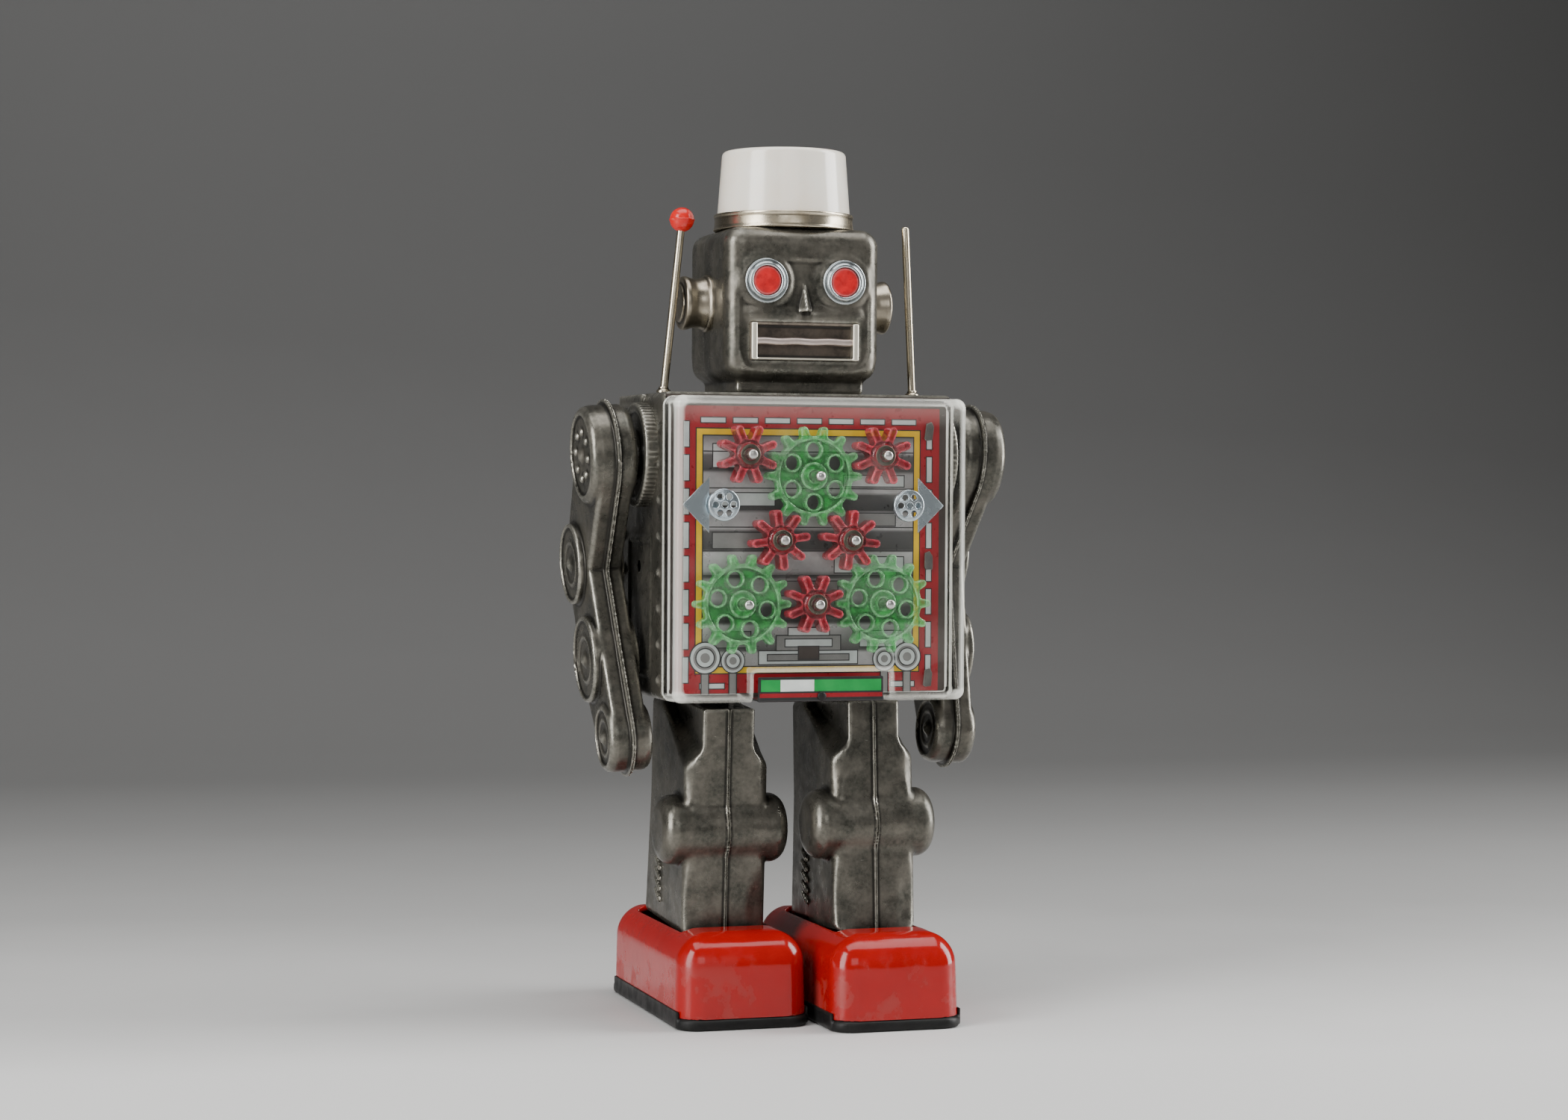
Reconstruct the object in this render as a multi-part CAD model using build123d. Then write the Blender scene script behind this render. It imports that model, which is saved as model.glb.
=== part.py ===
from build123d import *
import math
import os

# Tin walking robot with a clockwork drive, in millimetres.
# It faces -Y, +Z is up and +X is its left side. The origin is on the ground, midway between the feet.

# Pressed tin
TIN = 0.8
STRIDE_REST = 3.4            # each leg's angle from upright as it stands, left forward and right back

# Torso box
TORSO_HALF_W = 50.0
TORSO_FRONT = -27.3
TORSO_BACK = 25.0
TORSO_BOTTOM = 106.7
TORSO_TOP = 207.5

# Clear chest cover and the clip below it
WINDOW_FRONT = -43.0
WINDOW_TOP = 206.0
WINDOW_WALL = 1.2
WINDOW_EDGE_R = 2.6
NOTCH_HALF_W = 23.5
NOTCH_TOP = 116.5
CLIP_HALF_W = 21.5

# Chest gears: two sizes of one module, on an equilateral layout
GEAR_MODULE = 2.2
LARGE_TEETH = 14
SMALL_TEETH = 8
CENTRE_DISTANCE = GEAR_MODULE * (LARGE_TEETH + SMALL_TEETH) / 2
LARGE_ROOT_R = 13.2
LARGE_TIP_R = 16.6
SMALL_ROOT_R = 4.8
SMALL_TIP_R = 10.0
LARGE_TOOTH = (3.5, 2.5)     # tooth width at the root and near the tip
SMALL_TOOTH = (2.9, 2.5)
GEAR_BACK = -29.3
LARGE_FACE = 4.0
SMALL_FACE = 7.0
HUB_FACE = 8.2
TOP_GEAR_Z = 180.2
OUTER_DIRECTION = 16.6       # degrees above level from the top gear to its two outer pinions
PIN_R = 1.75
PIN_TIP = -41.0
RUNNING_GAP = 0.06           # radial clearance of each shaft in its hole
LOWER_Z = TOP_GEAR_Z - 2 * CENTRE_DISTANCE * math.sin(math.radians(60))

# Arrows and perforated discs on the chest
ARROW_TIP_X = 45.0
ARROW_BASE_X = 36.0
ARROW_HALF_H = 9.1
ARROW_Z = 170.7
ARROW_Y = -33.0
DISC_X = 31.8
DISC_R = 5.2
DISC_Y = -36.6

# Head
HEAD_HALF_W = 26.8
HEAD_FRONT = -22.0
HEAD_BACK = 26.5
HEAD_TOP = 262.6
HEAD_CORNER_R = 5.0
EYE_X = 13.5
EYE_Z = 244.6
MOUTH_HALF_W = 18.8
MOUTH_BOTTOM = 218.5
MOUTH_TOP = 231.0
EAR_Y = 2.0
EAR_Z = 238.0
CAP_Y = 2.6
CAP_BOTTOM_R = 22.5
CAP_TOP_R = 20.7
CAP_BOTTOM = 267.6
CAP_TOP = 290.0
COLLAR_R = 23.9
ANTENNA_X = 43.8
ANTENNA_Y = -5.0
ANTENNA_R = 1.3
ANTENNA_LENGTH = 58.0
ANTENNA_LEAN = {"right": 6.0, "left": 2.8}
BALL_R = 4.2

# Arms: circles of the side outline as (y, z, radius), then the depth of each half
ARM_STATIONS = [(-5.5, 187.0, 16.8), (20.0, 151.8, 14.2), (8.5, 119.6, 15.0), (-5.5, 93.8, 11.8)]
ARM_FLANGE_X = 63.5
ARM_FLANGE_LIP = 1.9
ARM_INNER_DEPTH = 7.4
ARM_OUTER_DEPTH = 6.2
ARM_DISC_PROUD = 2.6
ARM_DISC_INSET = 1.6
ARM_DISC_DISH = 0.6
ARM_TILT = 3.4               # the hand hangs nearer the body than the shoulder
ARM_SWING_REST = 2.55
ARM_SHAFT_R = 3.0
BOSS_R = 17.5
BOSS_DEPTH = 4.4

# Legs, in their upright position, measured from the leg's own centre line
LEG_X = 24.2
HIP_Y = 2.0
HIP_Z = 150.0
HIP_SHAFT_R = 2.0
LEG_HALF_W = 14.3
HIP_HALF_W = 8.65
LEG_TOP = 104.4
LEG_BOTTOM = 27.4
LEG_FRONT = -21.1
LEG_BACK_TOP = 26.0
LEG_BACK_BOTTOM = 30.5
SEAM_PROUD = 1.2
SEAM_HALF_T = 0.6
KNEE_Y = -12.2
KNEE_Z = 63.2
KNEE_R = 11.6
KNEE_EDGE_R = 5.0
KNEE_HALF_W = 21.6
KNEE_BEND_Z = 71.0
LEDGE_SLOPE = 0.314          # fall of the ledge beside the hip, rear to front
LEDGE_BACK_Z = 102.6
STRAP_OFFSET = 6.0
STRAP_T = 1.6
STRAP_HALF_W = 4.5

# Feet
FOOT_X = 23.7
FOOT_HALF_W = 22.0
FOOT_HALF_L = 46.0
FOOT_TOP = 31.0
FOOT_EDGE_R = 11.0
FOOT_CORNER_R = 6.0
SOLE_PROUD = 0.5
SOLE_T = 3.8
ANKLE_Z = 14.0
ANKLE_R = 1.5
ANKLE_FORWARD = 2.0          # the ankle sits this far behind the middle of the foot
ROLLER_R = 5.0
ROLLER_FORWARD = 27.0

# Clockwork, between two plates inside the torso
PLATE_FRONT = -22.0
PLATE_REAR = -8.0
PLATE_T = 1.0
PLATE_HALF_W = 28.5
TRAIN_MODULE = 1.5
GREAT_TEETH = 40
PINION_TEETH = 8
TRAIN_DISTANCE = TRAIN_MODULE * (GREAT_TEETH + PINION_TEETH) / 2
ARBOR_Z = TOP_GEAR_Z - TRAIN_DISTANCE
ARBOR_R = 3.0
GREAT_WHEEL_BACK = -18.4
GOVERNOR_ANGLE = -45.0
CROWN_MODULE = 1.1
CROWN_TEETH = 22
CRANK_TEETH = 10
CROWN_BASE_Y = -1.6
CRANK_Y = 5.4
CRANK_R = 1.5
ECCENTRIC_R = 4.5
THROW = 2.3
KEY_THICKNESS = 2.0

SIDES = {"right": -1, "left": 1}


def prism_x(sketch, x_low, x_high):
    """Extrude a sketch drawn in (y, z) from x_low to x_high."""
    plane = Plane(origin=(x_low, 0, 0), x_dir=(0, 1, 0), z_dir=(1, 0, 0))
    return extrude(plane * sketch, x_high - x_low)


def prism_y(sketch, y_low, y_high):
    """Extrude a sketch drawn in (x, z) from y_low to y_high."""
    plane = Plane(origin=(0, y_high, 0), x_dir=(1, 0, 0), z_dir=(0, -1, 0))
    return extrude(plane * sketch, y_high - y_low)


def prism_z(sketch, z_low, z_high):
    """Extrude a sketch drawn in (x, y) from z_low to z_high."""
    return extrude(Plane.XY.offset(z_low) * sketch, z_high - z_low)


def block(x, y, z):
    """A box between the given (low, high) pairs."""
    size = [high - low for low, high in (x, y, z)]
    centre = [(high + low) / 2 for low, high in (x, y, z)]
    return Pos(*centre) * Box(*size)


def rod_x(y, z, radius, x_low, x_high):
    return prism_x(Pos(y, z) * Circle(radius), x_low, x_high)


def rod_y(x, z, radius, y_low, y_high):
    return prism_y(Pos(x, z) * Circle(radius), y_low, y_high)


def span(side, near, far):
    """The ordered x interval between two distances from the middle, on one side of the body."""
    return tuple(sorted((side * near, side * far)))


def swing(shape, y, z, angle):
    """Turn a shape about a line along X."""
    return shape.rotate(Axis((0, y, z), (1, 0, 0)), angle)


def strip(start, start_r, end, end_r):
    """Two circles joined by their outer tangents."""
    dx, dy = end[0] - start[0], end[1] - start[1]
    length = math.hypot(dx, dy)
    along = math.atan2(dy, dx)
    lean = math.acos((start_r - end_r) / length)
    corners = []
    for centre, radius in ((start, start_r), (end, end_r)):
        for turn in (lean, -lean):
            angle = along + turn
            corners.append((centre[0] + radius * math.cos(angle), centre[1] + radius * math.sin(angle)))
    quad = make_face(Polyline(corners[0], corners[2], corners[3], corners[1], close=True))
    return quad + Pos(*start) * Circle(start_r) + Pos(*end) * Circle(end_r)


def toothed(count, root_r, tip_r, widths, phase, rounded=True):
    """A wheel outline with straight-sided teeth, one of them centred at the angle phase."""
    root_w, tip_w = widths
    end_r = tip_w / 2 if rounded else 0.0
    reach = tip_r - end_r
    tooth = make_face(
        Polyline(
            (root_r - 0.5, -root_w / 2),
            (reach, -tip_w / 2),
            (reach, tip_w / 2),
            (root_r - 0.5, root_w / 2),
            close=True,
        )
    )
    if rounded:
        tooth = tooth + Pos(reach, 0) * Circle(end_r)
    outline = Circle(root_r)
    for index in range(count):
        outline = outline + Rot(0, 0, phase + index * 360 / count) * tooth
    return outline


def meshed_phase(teeth_a, phase_a, teeth_b, direction):
    """Phase that puts wheel b in mesh with wheel a, where direction points from a to b."""
    return ((teeth_a + teeth_b) * direction + 180 * teeth_b - 180 - teeth_a * phase_a) / teeth_b


def polar(centre, distance, angle):
    radians = math.radians(angle)
    return (centre[0] + distance * math.cos(radians), centre[1] + distance * math.sin(radians))


# ---------------------------------------------------------------- torso

def torso_shell():
    """Folded tin sides, top and floor; the chest plate and the back close its two ends."""
    shell = block((-TORSO_HALF_W, TORSO_HALF_W), (TORSO_FRONT, TORSO_BACK), (TORSO_BOTTOM, TORSO_TOP))
    upright_edges = shell.edges().filter_by(Axis.Y)
    shell = fillet(upright_edges, 1.5)
    shell -= block(
        (-TORSO_HALF_W + TIN, TORSO_HALF_W - TIN),
        (TORSO_FRONT - 1, TORSO_BACK + 1),
        (TORSO_BOTTOM + TIN, TORSO_TOP - TIN),
    )
    wall_holes = [
        (HIP_Y, HIP_Z, HIP_SHAFT_R),
        (CRANK_Y, TOP_GEAR_Z, CRANK_R + RUNNING_GAP),
        (ARM_STATIONS[0][0], ARM_STATIONS[0][1], ARM_SHAFT_R + RUNNING_GAP),
    ]
    for y, z, radius in wall_holes:
        shell -= rod_x(y, z, radius, -TORSO_HALF_W - 1, TORSO_HALF_W + 1)
    slot_reach = STRAP_HALF_W + 4.5
    for side in SIDES.values():
        for offset in (-STRAP_OFFSET, STRAP_OFFSET):
            middle = side * LEG_X + offset
            shell -= block(
                (middle - STRAP_T / 2 - 0.6, middle + STRAP_T / 2 + 0.6),
                (HIP_Y - slot_reach, HIP_Y + slot_reach),
                (TORSO_BOTTOM - 1, TORSO_BOTTOM + TIN + 1),
            )
    return shell


def end_plate(y_low, y_high):
    return block(
        (-TORSO_HALF_W + TIN, TORSO_HALF_W - TIN),
        (y_low, y_high),
        (TORSO_BOTTOM + TIN, TORSO_TOP - TIN),
    )


def chest_plate():
    plate = end_plate(TORSO_FRONT, TORSO_FRONT + TIN)
    return plate - rod_y(0, TOP_GEAR_Z, PIN_R + RUNNING_GAP, TORSO_FRONT - 1, TORSO_FRONT + 2)


def torso_back():
    plate = end_plate(TORSO_BACK - TIN, TORSO_BACK)
    return plate - rod_y(0, ARBOR_Z, ARBOR_R + RUNNING_GAP, TORSO_BACK - 2, TORSO_BACK + 1)


def chest_window():
    """Clear moulded cover: a shallow tray over the chest, notched below for the clip."""
    tray = block((-TORSO_HALF_W, TORSO_HALF_W), (WINDOW_FRONT, TORSO_FRONT), (TORSO_BOTTOM, WINDOW_TOP))
    tray = fillet(tray.edges().filter_by(Axis.Y), WINDOW_EDGE_R)
    tray = fillet(tray.faces().sort_by(Axis.Y)[0].edges(), WINDOW_EDGE_R - 0.4)
    tray -= block(
        (-TORSO_HALF_W + WINDOW_WALL, TORSO_HALF_W - WINDOW_WALL),
        (WINDOW_FRONT + WINDOW_WALL, TORSO_FRONT + 1),
        (TORSO_BOTTOM + WINDOW_WALL, WINDOW_TOP - WINDOW_WALL),
    )
    return tray - block(
        (-NOTCH_HALF_W, NOTCH_HALF_W),
        (WINDOW_FRONT - 1, TORSO_FRONT + 1),
        (TORSO_BOTTOM - 1, NOTCH_TOP),
    )


def window_clip():
    """Bent tin strip that comes forward under the cover and turns up in the notch."""
    lip = block((-CLIP_HALF_W, CLIP_HALF_W), (-41.6, -40.8), (TORSO_BOTTOM + 0.3, NOTCH_TOP - 1.6))
    shelf = block((-CLIP_HALF_W, CLIP_HALF_W), (-41.6, TORSO_FRONT), (TORSO_BOTTOM + 0.3, TORSO_BOTTOM + 1.1))
    return lip + shelf


def arrow_plates():
    """Bright tin arrowheads that point outwards, each on a short post."""
    group = []
    for side in SIDES.values():
        outline = make_face(
            Polyline(
                (side * ARROW_TIP_X, ARROW_Z),
                (side * ARROW_BASE_X, ARROW_Z + ARROW_HALF_H),
                (side * ARROW_BASE_X, ARROW_Z - ARROW_HALF_H),
                close=True,
            )
        )
        sheet = (ARROW_Y - 0.6, ARROW_Y)
        head = prism_y(outline, *sheet)
        tail = block(span(side, DISC_X, ARROW_BASE_X + 0.5), sheet, (ARROW_Z - 2.2, ARROW_Z + 2.2))
        post = rod_y(side * 38.5, ARROW_Z, 1.4, ARROW_Y, TORSO_FRONT)
        group.append(head + tail + post)
    return group


def perforated_discs():
    """Domed discs with a ring of holes, standing in front of the arrows' tails."""
    group = []
    for side in SIDES.values():
        centre = (side * DISC_X, ARROW_Z)
        disc = rod_y(*centre, DISC_R, DISC_Y - 0.8, DISC_Y)
        hole_centres = [centre] + [polar(centre, 3.1, 60 * step) for step in range(6)]
        for x, z in hole_centres:
            disc -= rod_y(x, z, 0.7, DISC_Y - 2, DISC_Y + 1)
        rim = rod_y(*centre, DISC_R, DISC_Y, ARROW_Y - 0.6)
        rim -= rod_y(*centre, DISC_R - 0.7, DISC_Y - 1, ARROW_Y)
        group.append(disc + rim)
    return group


def gear_places():
    """Name, size, centre and phase of each chest gear, seen from the front."""
    top = (0.0, TOP_GEAR_Z)
    places = {"gear_top": ("large", top, 0.0)}
    for side_name, side in SIDES.items():
        outer_angle = OUTER_DIRECTION if side > 0 else 180 - OUTER_DIRECTION
        inner_angle = -60 if side > 0 else 240
        for name, angle in (("outer", outer_angle), ("inner", inner_angle)):
            phase = meshed_phase(LARGE_TEETH, 0.0, SMALL_TEETH, angle)
            centre = polar(top, CENTRE_DISTANCE, angle)
            places[f"pinion_{name}_{side_name}"] = ("small", centre, phase)
        _, inner_centre, inner_phase = places[f"pinion_inner_{side_name}"]
        low_phase = meshed_phase(SMALL_TEETH, inner_phase, LARGE_TEETH, inner_angle)
        low_centre = polar(inner_centre, CENTRE_DISTANCE, inner_angle)
        places[f"gear_low_{side_name}"] = ("large", low_centre, low_phase)
    right_phase = places["gear_low_right"][2]
    places["pinion_low"] = ("small", (0.0, LOWER_Z), meshed_phase(LARGE_TEETH, right_phase, SMALL_TEETH, 0.0))
    return places


def large_gear(centre, phase):
    outline = toothed(LARGE_TEETH, LARGE_ROOT_R, LARGE_TIP_R, LARGE_TOOTH, phase)
    for step in range(6):
        outline -= Pos(*polar((0, 0), 8.6, phase + 30 + 60 * step)) * Circle(2.5)
    outline -= Circle(PIN_R + RUNNING_GAP)
    return prism_y(Pos(*centre) * outline, GEAR_BACK - LARGE_FACE, GEAR_BACK)


def small_gear(centre, phase):
    bore = Circle(PIN_R + RUNNING_GAP)
    outline = toothed(SMALL_TEETH, SMALL_ROOT_R, SMALL_TIP_R, SMALL_TOOTH, phase)
    wheel = prism_y(Pos(*centre) * (outline - bore), GEAR_BACK - SMALL_FACE, GEAR_BACK)
    hub = prism_y(Pos(*centre) * (Circle(3.5) - bore), GEAR_BACK - HUB_FACE, GEAR_BACK)
    return wheel + hub


def gear_pins():
    """Fixed round-ended pins that carry every chest gear but the driven one."""
    group = []
    for name, (_, centre, _) in gear_places().items():
        if name != "gear_top":
            pin = rod_y(*centre, PIN_R, PIN_TIP, TORSO_FRONT)
            group.append(fillet(pin.faces().sort_by(Axis.Y)[0].edges(), PIN_R * 0.8))
    return group


def shoulder_bosses():
    """Stepped pressed discs between the torso and each arm."""
    y, z, _ = ARM_STATIONS[0]
    group = []
    for side in SIDES.values():
        low, high = span(side, TORSO_HALF_W, TORSO_HALF_W + BOSS_DEPTH)
        step_low, step_high = span(side, TORSO_HALF_W, TORSO_HALF_W + 1.2)
        boss = rod_x(y, z, BOSS_R - 1.2, low, high) + rod_x(y, z, BOSS_R, step_low, step_high)
        group.append(boss - rod_x(y, z, ARM_SHAFT_R + RUNNING_GAP, low - 1, high + 1))
    return group


# ---------------------------------------------------------------- head

def head_form(inset):
    """Rounded box with a narrower, chamfered foot; inset shrinks it evenly for the hollow."""
    width = 2 * (HEAD_HALF_W - inset)
    depth = HEAD_BACK - HEAD_FRONT - 2 * inset
    middle = (0, (HEAD_FRONT + HEAD_BACK) / 2)
    outline = Pos(*middle) * RectangleRounded(width, depth, HEAD_CORNER_R - inset)
    form = prism_z(outline, TORSO_TOP + inset, HEAD_TOP - inset)
    form = chamfer(form.faces().sort_by(Axis.Z)[0].edges(), 5.0, 3.6)
    return fillet(form.faces().sort_by(Axis.Z)[-1].edges(), HEAD_CORNER_R - inset - 1)


def head_shell():
    """Pressed tin head with a wedge nose and an opening behind the mouth."""
    bridge, tip, base = (HEAD_FRONT + 0.5, 243.0), (HEAD_FRONT - 3.2, 235.6), (HEAD_FRONT + 0.5, 234.6)
    nose = make_face(Polyline(bridge, tip, base, close=True))
    mouth = block((-MOUTH_HALF_W, MOUTH_HALF_W), (HEAD_FRONT - 1, HEAD_FRONT + 3), (MOUTH_BOTTOM, MOUTH_TOP))
    return head_form(0.0) - head_form(TIN) + prism_x(nose, -1.6, 1.6) - mouth


def mouth_frame():
    """Shallow pan set in the mouth opening, with a raised rim."""
    rim = 1.5
    pan = block(
        (-MOUTH_HALF_W, MOUTH_HALF_W),
        (HEAD_FRONT - 0.9, HEAD_FRONT + 3.6),
        (MOUTH_BOTTOM, MOUTH_TOP),
    )
    hollow = block(
        (-MOUTH_HALF_W + rim, MOUTH_HALF_W - rim),
        (HEAD_FRONT - 2, HEAD_FRONT + 2.8),
        (MOUTH_BOTTOM + 0.8, MOUTH_TOP - 0.8),
    )
    return pan - hollow


def mouth_bar():
    """Rounded bar across the mouth."""
    middle_z = (MOUTH_BOTTOM + MOUTH_TOP) / 2
    bar = SlotOverall(2 * (MOUTH_HALF_W - 1.5), 2.6)
    return prism_y(Pos(0, middle_z) * bar, HEAD_FRONT - 0.5, HEAD_FRONT + 2.8)


def eye_rings():
    group = []
    for side in SIDES.values():
        outer = rod_y(side * EYE_X, EYE_Z, 7.5, HEAD_FRONT - 1.0, HEAD_FRONT)
        inner = rod_y(side * EYE_X, EYE_Z, 6.4, HEAD_FRONT - 1.9, HEAD_FRONT)
        group.append(outer + inner - rod_y(side * EYE_X, EYE_Z, 4.7, HEAD_FRONT - 3, HEAD_FRONT + 1))
    return group


def eye_lenses():
    return [rod_y(side * EYE_X, EYE_Z, 4.7, HEAD_FRONT - 1.4, HEAD_FRONT) for side in SIDES.values()]


def ears():
    """Spool-shaped nickel knobs on the sides of the head."""
    group = []
    for side in SIDES.values():
        spool = Part()
        for radius, near, far in ((9.6, 0.0, 1.4), (8.2, 1.4, 7.6), (9.0, 7.6, 9.4), (6.2, 9.4, 10.4)):
            spool += rod_x(EAR_Y, EAR_Z, radius, *span(side, HEAD_HALF_W + near, HEAD_HALF_W + far))
        group.append(spool)
    return group


def cap_collar():
    """Spun metal collar on top of the head."""
    seat = Pos(0, CAP_Y) * Circle(COLLAR_R) - Pos(0, CAP_Y) * Circle(CAP_BOTTOM_R - 2.4)
    wall = Pos(0, CAP_Y) * Circle(COLLAR_R) - Pos(0, CAP_Y) * Circle(CAP_BOTTOM_R)
    lower = prism_z(seat, HEAD_TOP, CAP_BOTTOM - 1.0)
    return lower + prism_z(wall, CAP_BOTTOM - 1.0, CAP_BOTTOM + 0.8)


def cap():
    """Translucent white plastic cap, slightly conical with a rounded top edge."""
    height = CAP_TOP - CAP_BOTTOM + 1.0
    middle_z = CAP_TOP - height / 2
    form = Pos(0, CAP_Y, middle_z) * Cone(CAP_BOTTOM_R, CAP_TOP_R, height)
    form = fillet(form.faces().sort_by(Axis.Z)[-1].edges(), 1.6)
    wall = 1.5
    return form - Pos(0, CAP_Y, middle_z - wall) * Cone(CAP_BOTTOM_R - wall, CAP_TOP_R - wall, height)


def antenna_rods():
    """Straight rods in small ferrules, leaning in towards the head."""
    group = []
    for side_name, side in SIDES.items():
        rod = Pos(0, 0, ANTENNA_LENGTH / 2) * Cylinder(ANTENNA_R, ANTENNA_LENGTH)
        rod = fillet(rod.faces().sort_by(Axis.Z)[-1].edges(), ANTENNA_R * 0.8)
        ferrule = Pos(0, 0, 1.1) * Cylinder(2.4, 2.2)
        base = Pos(side * ANTENNA_X, ANTENNA_Y, TORSO_TOP)
        leaning = base * Rot(0, -side * ANTENNA_LEAN[side_name], 0) * rod
        group.append(leaning - block((-60, 60), (-20, 20), (TORSO_TOP - 5, TORSO_TOP)) + base * ferrule)
    return group


def antenna_ball():
    """Red ball pushed on to the right antenna."""
    lean = math.radians(ANTENNA_LEAN["right"])
    reach = ANTENNA_LENGTH
    centre = Vector(-ANTENNA_X + reach * math.sin(lean), ANTENNA_Y, TORSO_TOP + reach * math.cos(lean))
    ball = Pos(centre) * Sphere(BALL_R)
    socket = Pos(-ANTENNA_X, ANTENNA_Y, TORSO_TOP) * Rot(0, ANTENNA_LEAN["right"], 0)
    return ball - socket * Pos(0, 0, ANTENNA_LENGTH / 2) * Cylinder(ANTENNA_R, ANTENNA_LENGTH)


# ---------------------------------------------------------------- clockwork

def train_wheel(centre, teeth, phase, y_low, y_high, bore):
    pitch_r = TRAIN_MODULE * teeth / 2
    outline = toothed(teeth, pitch_r - 1.7, pitch_r + 1.1, (2.4, 0.9), phase, rounded=False)
    if bore:
        outline -= Circle(bore)
    return prism_y(Pos(*centre) * outline, y_low, y_high)


def movement_plates():
    """Front and rear plates of the clockwork, standing between the torso's floor and top."""
    group = []
    governor_x, governor_z = polar((0, ARBOR_Z), TRAIN_DISTANCE, GOVERNOR_ANGLE)
    for front in (PLATE_FRONT, PLATE_REAR):
        plate = block(
            (-PLATE_HALF_W, PLATE_HALF_W),
            (front, front + PLATE_T),
            (TORSO_BOTTOM + TIN, TORSO_TOP - TIN),
        )
        for x, z, radius in ((0, ARBOR_Z, ARBOR_R), (0, TOP_GEAR_Z, PIN_R), (governor_x, governor_z, 1.0)):
            plate -= rod_y(x, z, radius + RUNNING_GAP, front - 1, front + 2)
        group.append(plate)
    return group


def movement_pillars():
    corners = ((-24.0, 195.0), (24.0, 195.0), (-26.0, 112.5), (10.0, 110.8))
    return [rod_y(x, z, 1.6, PLATE_FRONT + PLATE_T, PLATE_REAR) for x, z in corners]


def mainspring():
    """Flat spiral spring, drawn let down, made of half turns about two centres."""
    strip_t = 0.5
    pitch = 3.0
    turns = 5
    outline = Sketch()
    for half in range(2 * turns):
        radius = 5.0 + half * pitch / 2
        ring = Circle(radius + strip_t) - Circle(radius)
        upper = half % 2 == 0
        keep = Pos(0, 30 if upper else -30) * Rectangle(120, 60)
        outline += Pos(0 if upper else pitch / 2, 0) * (ring & keep)
    return prism_y(Pos(0, ARBOR_Z) * outline, -16.0, -9.0)


def great_wheel():
    face = (GREAT_WHEEL_BACK - 1.4, GREAT_WHEEL_BACK)
    wheel = train_wheel((0, ARBOR_Z), GREAT_TEETH, 90.0, *face, ARBOR_R + RUNNING_GAP)
    for step in range(5):
        wheel -= rod_y(*polar((0, ARBOR_Z), 20.5, 54 + 72 * step), 4.5, -22, -16)
    return wheel


def winding_arbor():
    """Arbor with its ratchet wheel, from the front plate to the key."""
    teeth = 12
    ratchet = Circle(7.2)
    for index in range(teeth):
        angle = index * 360 / teeth
        foot = polar((0, 0), 7.0, angle - 26)
        tooth = make_face(Polyline(polar((0, 0), 7.0, angle), polar((0, 0), 9.0, angle), foot, close=True))
        ratchet = ratchet + tooth
    wheel = prism_y(Pos(0, ARBOR_Z) * ratchet, -18.0, -16.6)
    return rod_y(0, ARBOR_Z, ARBOR_R, PLATE_FRONT, 34.0) + wheel


def click():
    """Pawl riveted to the great wheel, resting at the tips of the ratchet."""
    pivot = polar((0, ARBOR_Z), 14.0, 60)
    nose = polar((0, ARBOR_Z), 10.6, 96)
    pawl = strip(pivot, 2.0, nose, 1.0)
    return prism_y(pawl, GREAT_WHEEL_BACK, -16.8)


def winding_key():
    """Butterfly key behind the back."""
    collar = rod_y(0, ARBOR_Z, 5.0, 27.0, 34.0)
    wings = strip((-9.0, ARBOR_Z), 7.0, (9.0, ARBOR_Z), 7.0)
    for side in SIDES.values():
        wings -= Pos(side * 10.0, ARBOR_Z) * Circle(3.0)
    collar -= rod_y(0, ARBOR_Z, ARBOR_R, 26.0, 34.0)
    return collar + prism_y(wings, 34.0, 34.0 + KEY_THICKNESS)


def chest_shaft():
    """Driven shaft of the top chest gear, with its pinion."""
    shaft = rod_y(0, TOP_GEAR_Z, PIN_R, PIN_TIP, 0.5)
    shaft = fillet(shaft.faces().sort_by(Axis.Y)[0].edges(), PIN_R * 0.8)
    phase = meshed_phase(GREAT_TEETH, 90.0, PINION_TEETH, 90.0)
    return shaft + train_wheel((0, TOP_GEAR_Z), PINION_TEETH, phase, -20.2, -17.8, 0)


def crown_wheel():
    """Crown wheel on the chest shaft; its teeth point backwards and turn the crank."""
    pitch_r = CROWN_MODULE * CROWN_TEETH / 2
    bore = rod_y(0, TOP_GEAR_Z, PIN_R, -10, 10)
    disc = rod_y(0, TOP_GEAR_Z, pitch_r + 1.3, CROWN_BASE_Y - 1.4, CROWN_BASE_Y)
    for index in range(CROWN_TEETH):
        tooth = Pos(pitch_r, 0) * Rectangle(2.6, 1.1)
        turned = Pos(0, TOP_GEAR_Z) * Rot(0, 0, index * 360 / CROWN_TEETH) * tooth
        disc += prism_y(turned, CROWN_BASE_Y, CROWN_BASE_Y + 2.5)
    return disc - bore


def crank_shaft():
    """Cross shaft with an eccentric for each leg, half a turn apart, and its pinion."""
    shaft = rod_x(CRANK_Y, TOP_GEAR_Z, CRANK_R, -TORSO_HALF_W + 0.2, TORSO_HALF_W - 0.2)
    for side in SIDES.values():
        middle = side * (LEG_X + STRAP_OFFSET)
        shaft += rod_x(CRANK_Y, TOP_GEAR_Z + side * THROW, ECCENTRIC_R, middle - 1.5, middle + 1.5)
    phase = 180 + 180 / CRANK_TEETH
    pitch_r = CROWN_MODULE * CRANK_TEETH / 2
    outline = toothed(CRANK_TEETH, pitch_r - 1.3, pitch_r + 0.9, (1.6, 0.9), phase, rounded=False)
    pinion_x = CROWN_MODULE * CROWN_TEETH / 2
    return shaft + prism_x(Pos(CRANK_Y, TOP_GEAR_Z) * outline, pinion_x - 1.5, pinion_x + 1.5)


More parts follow.
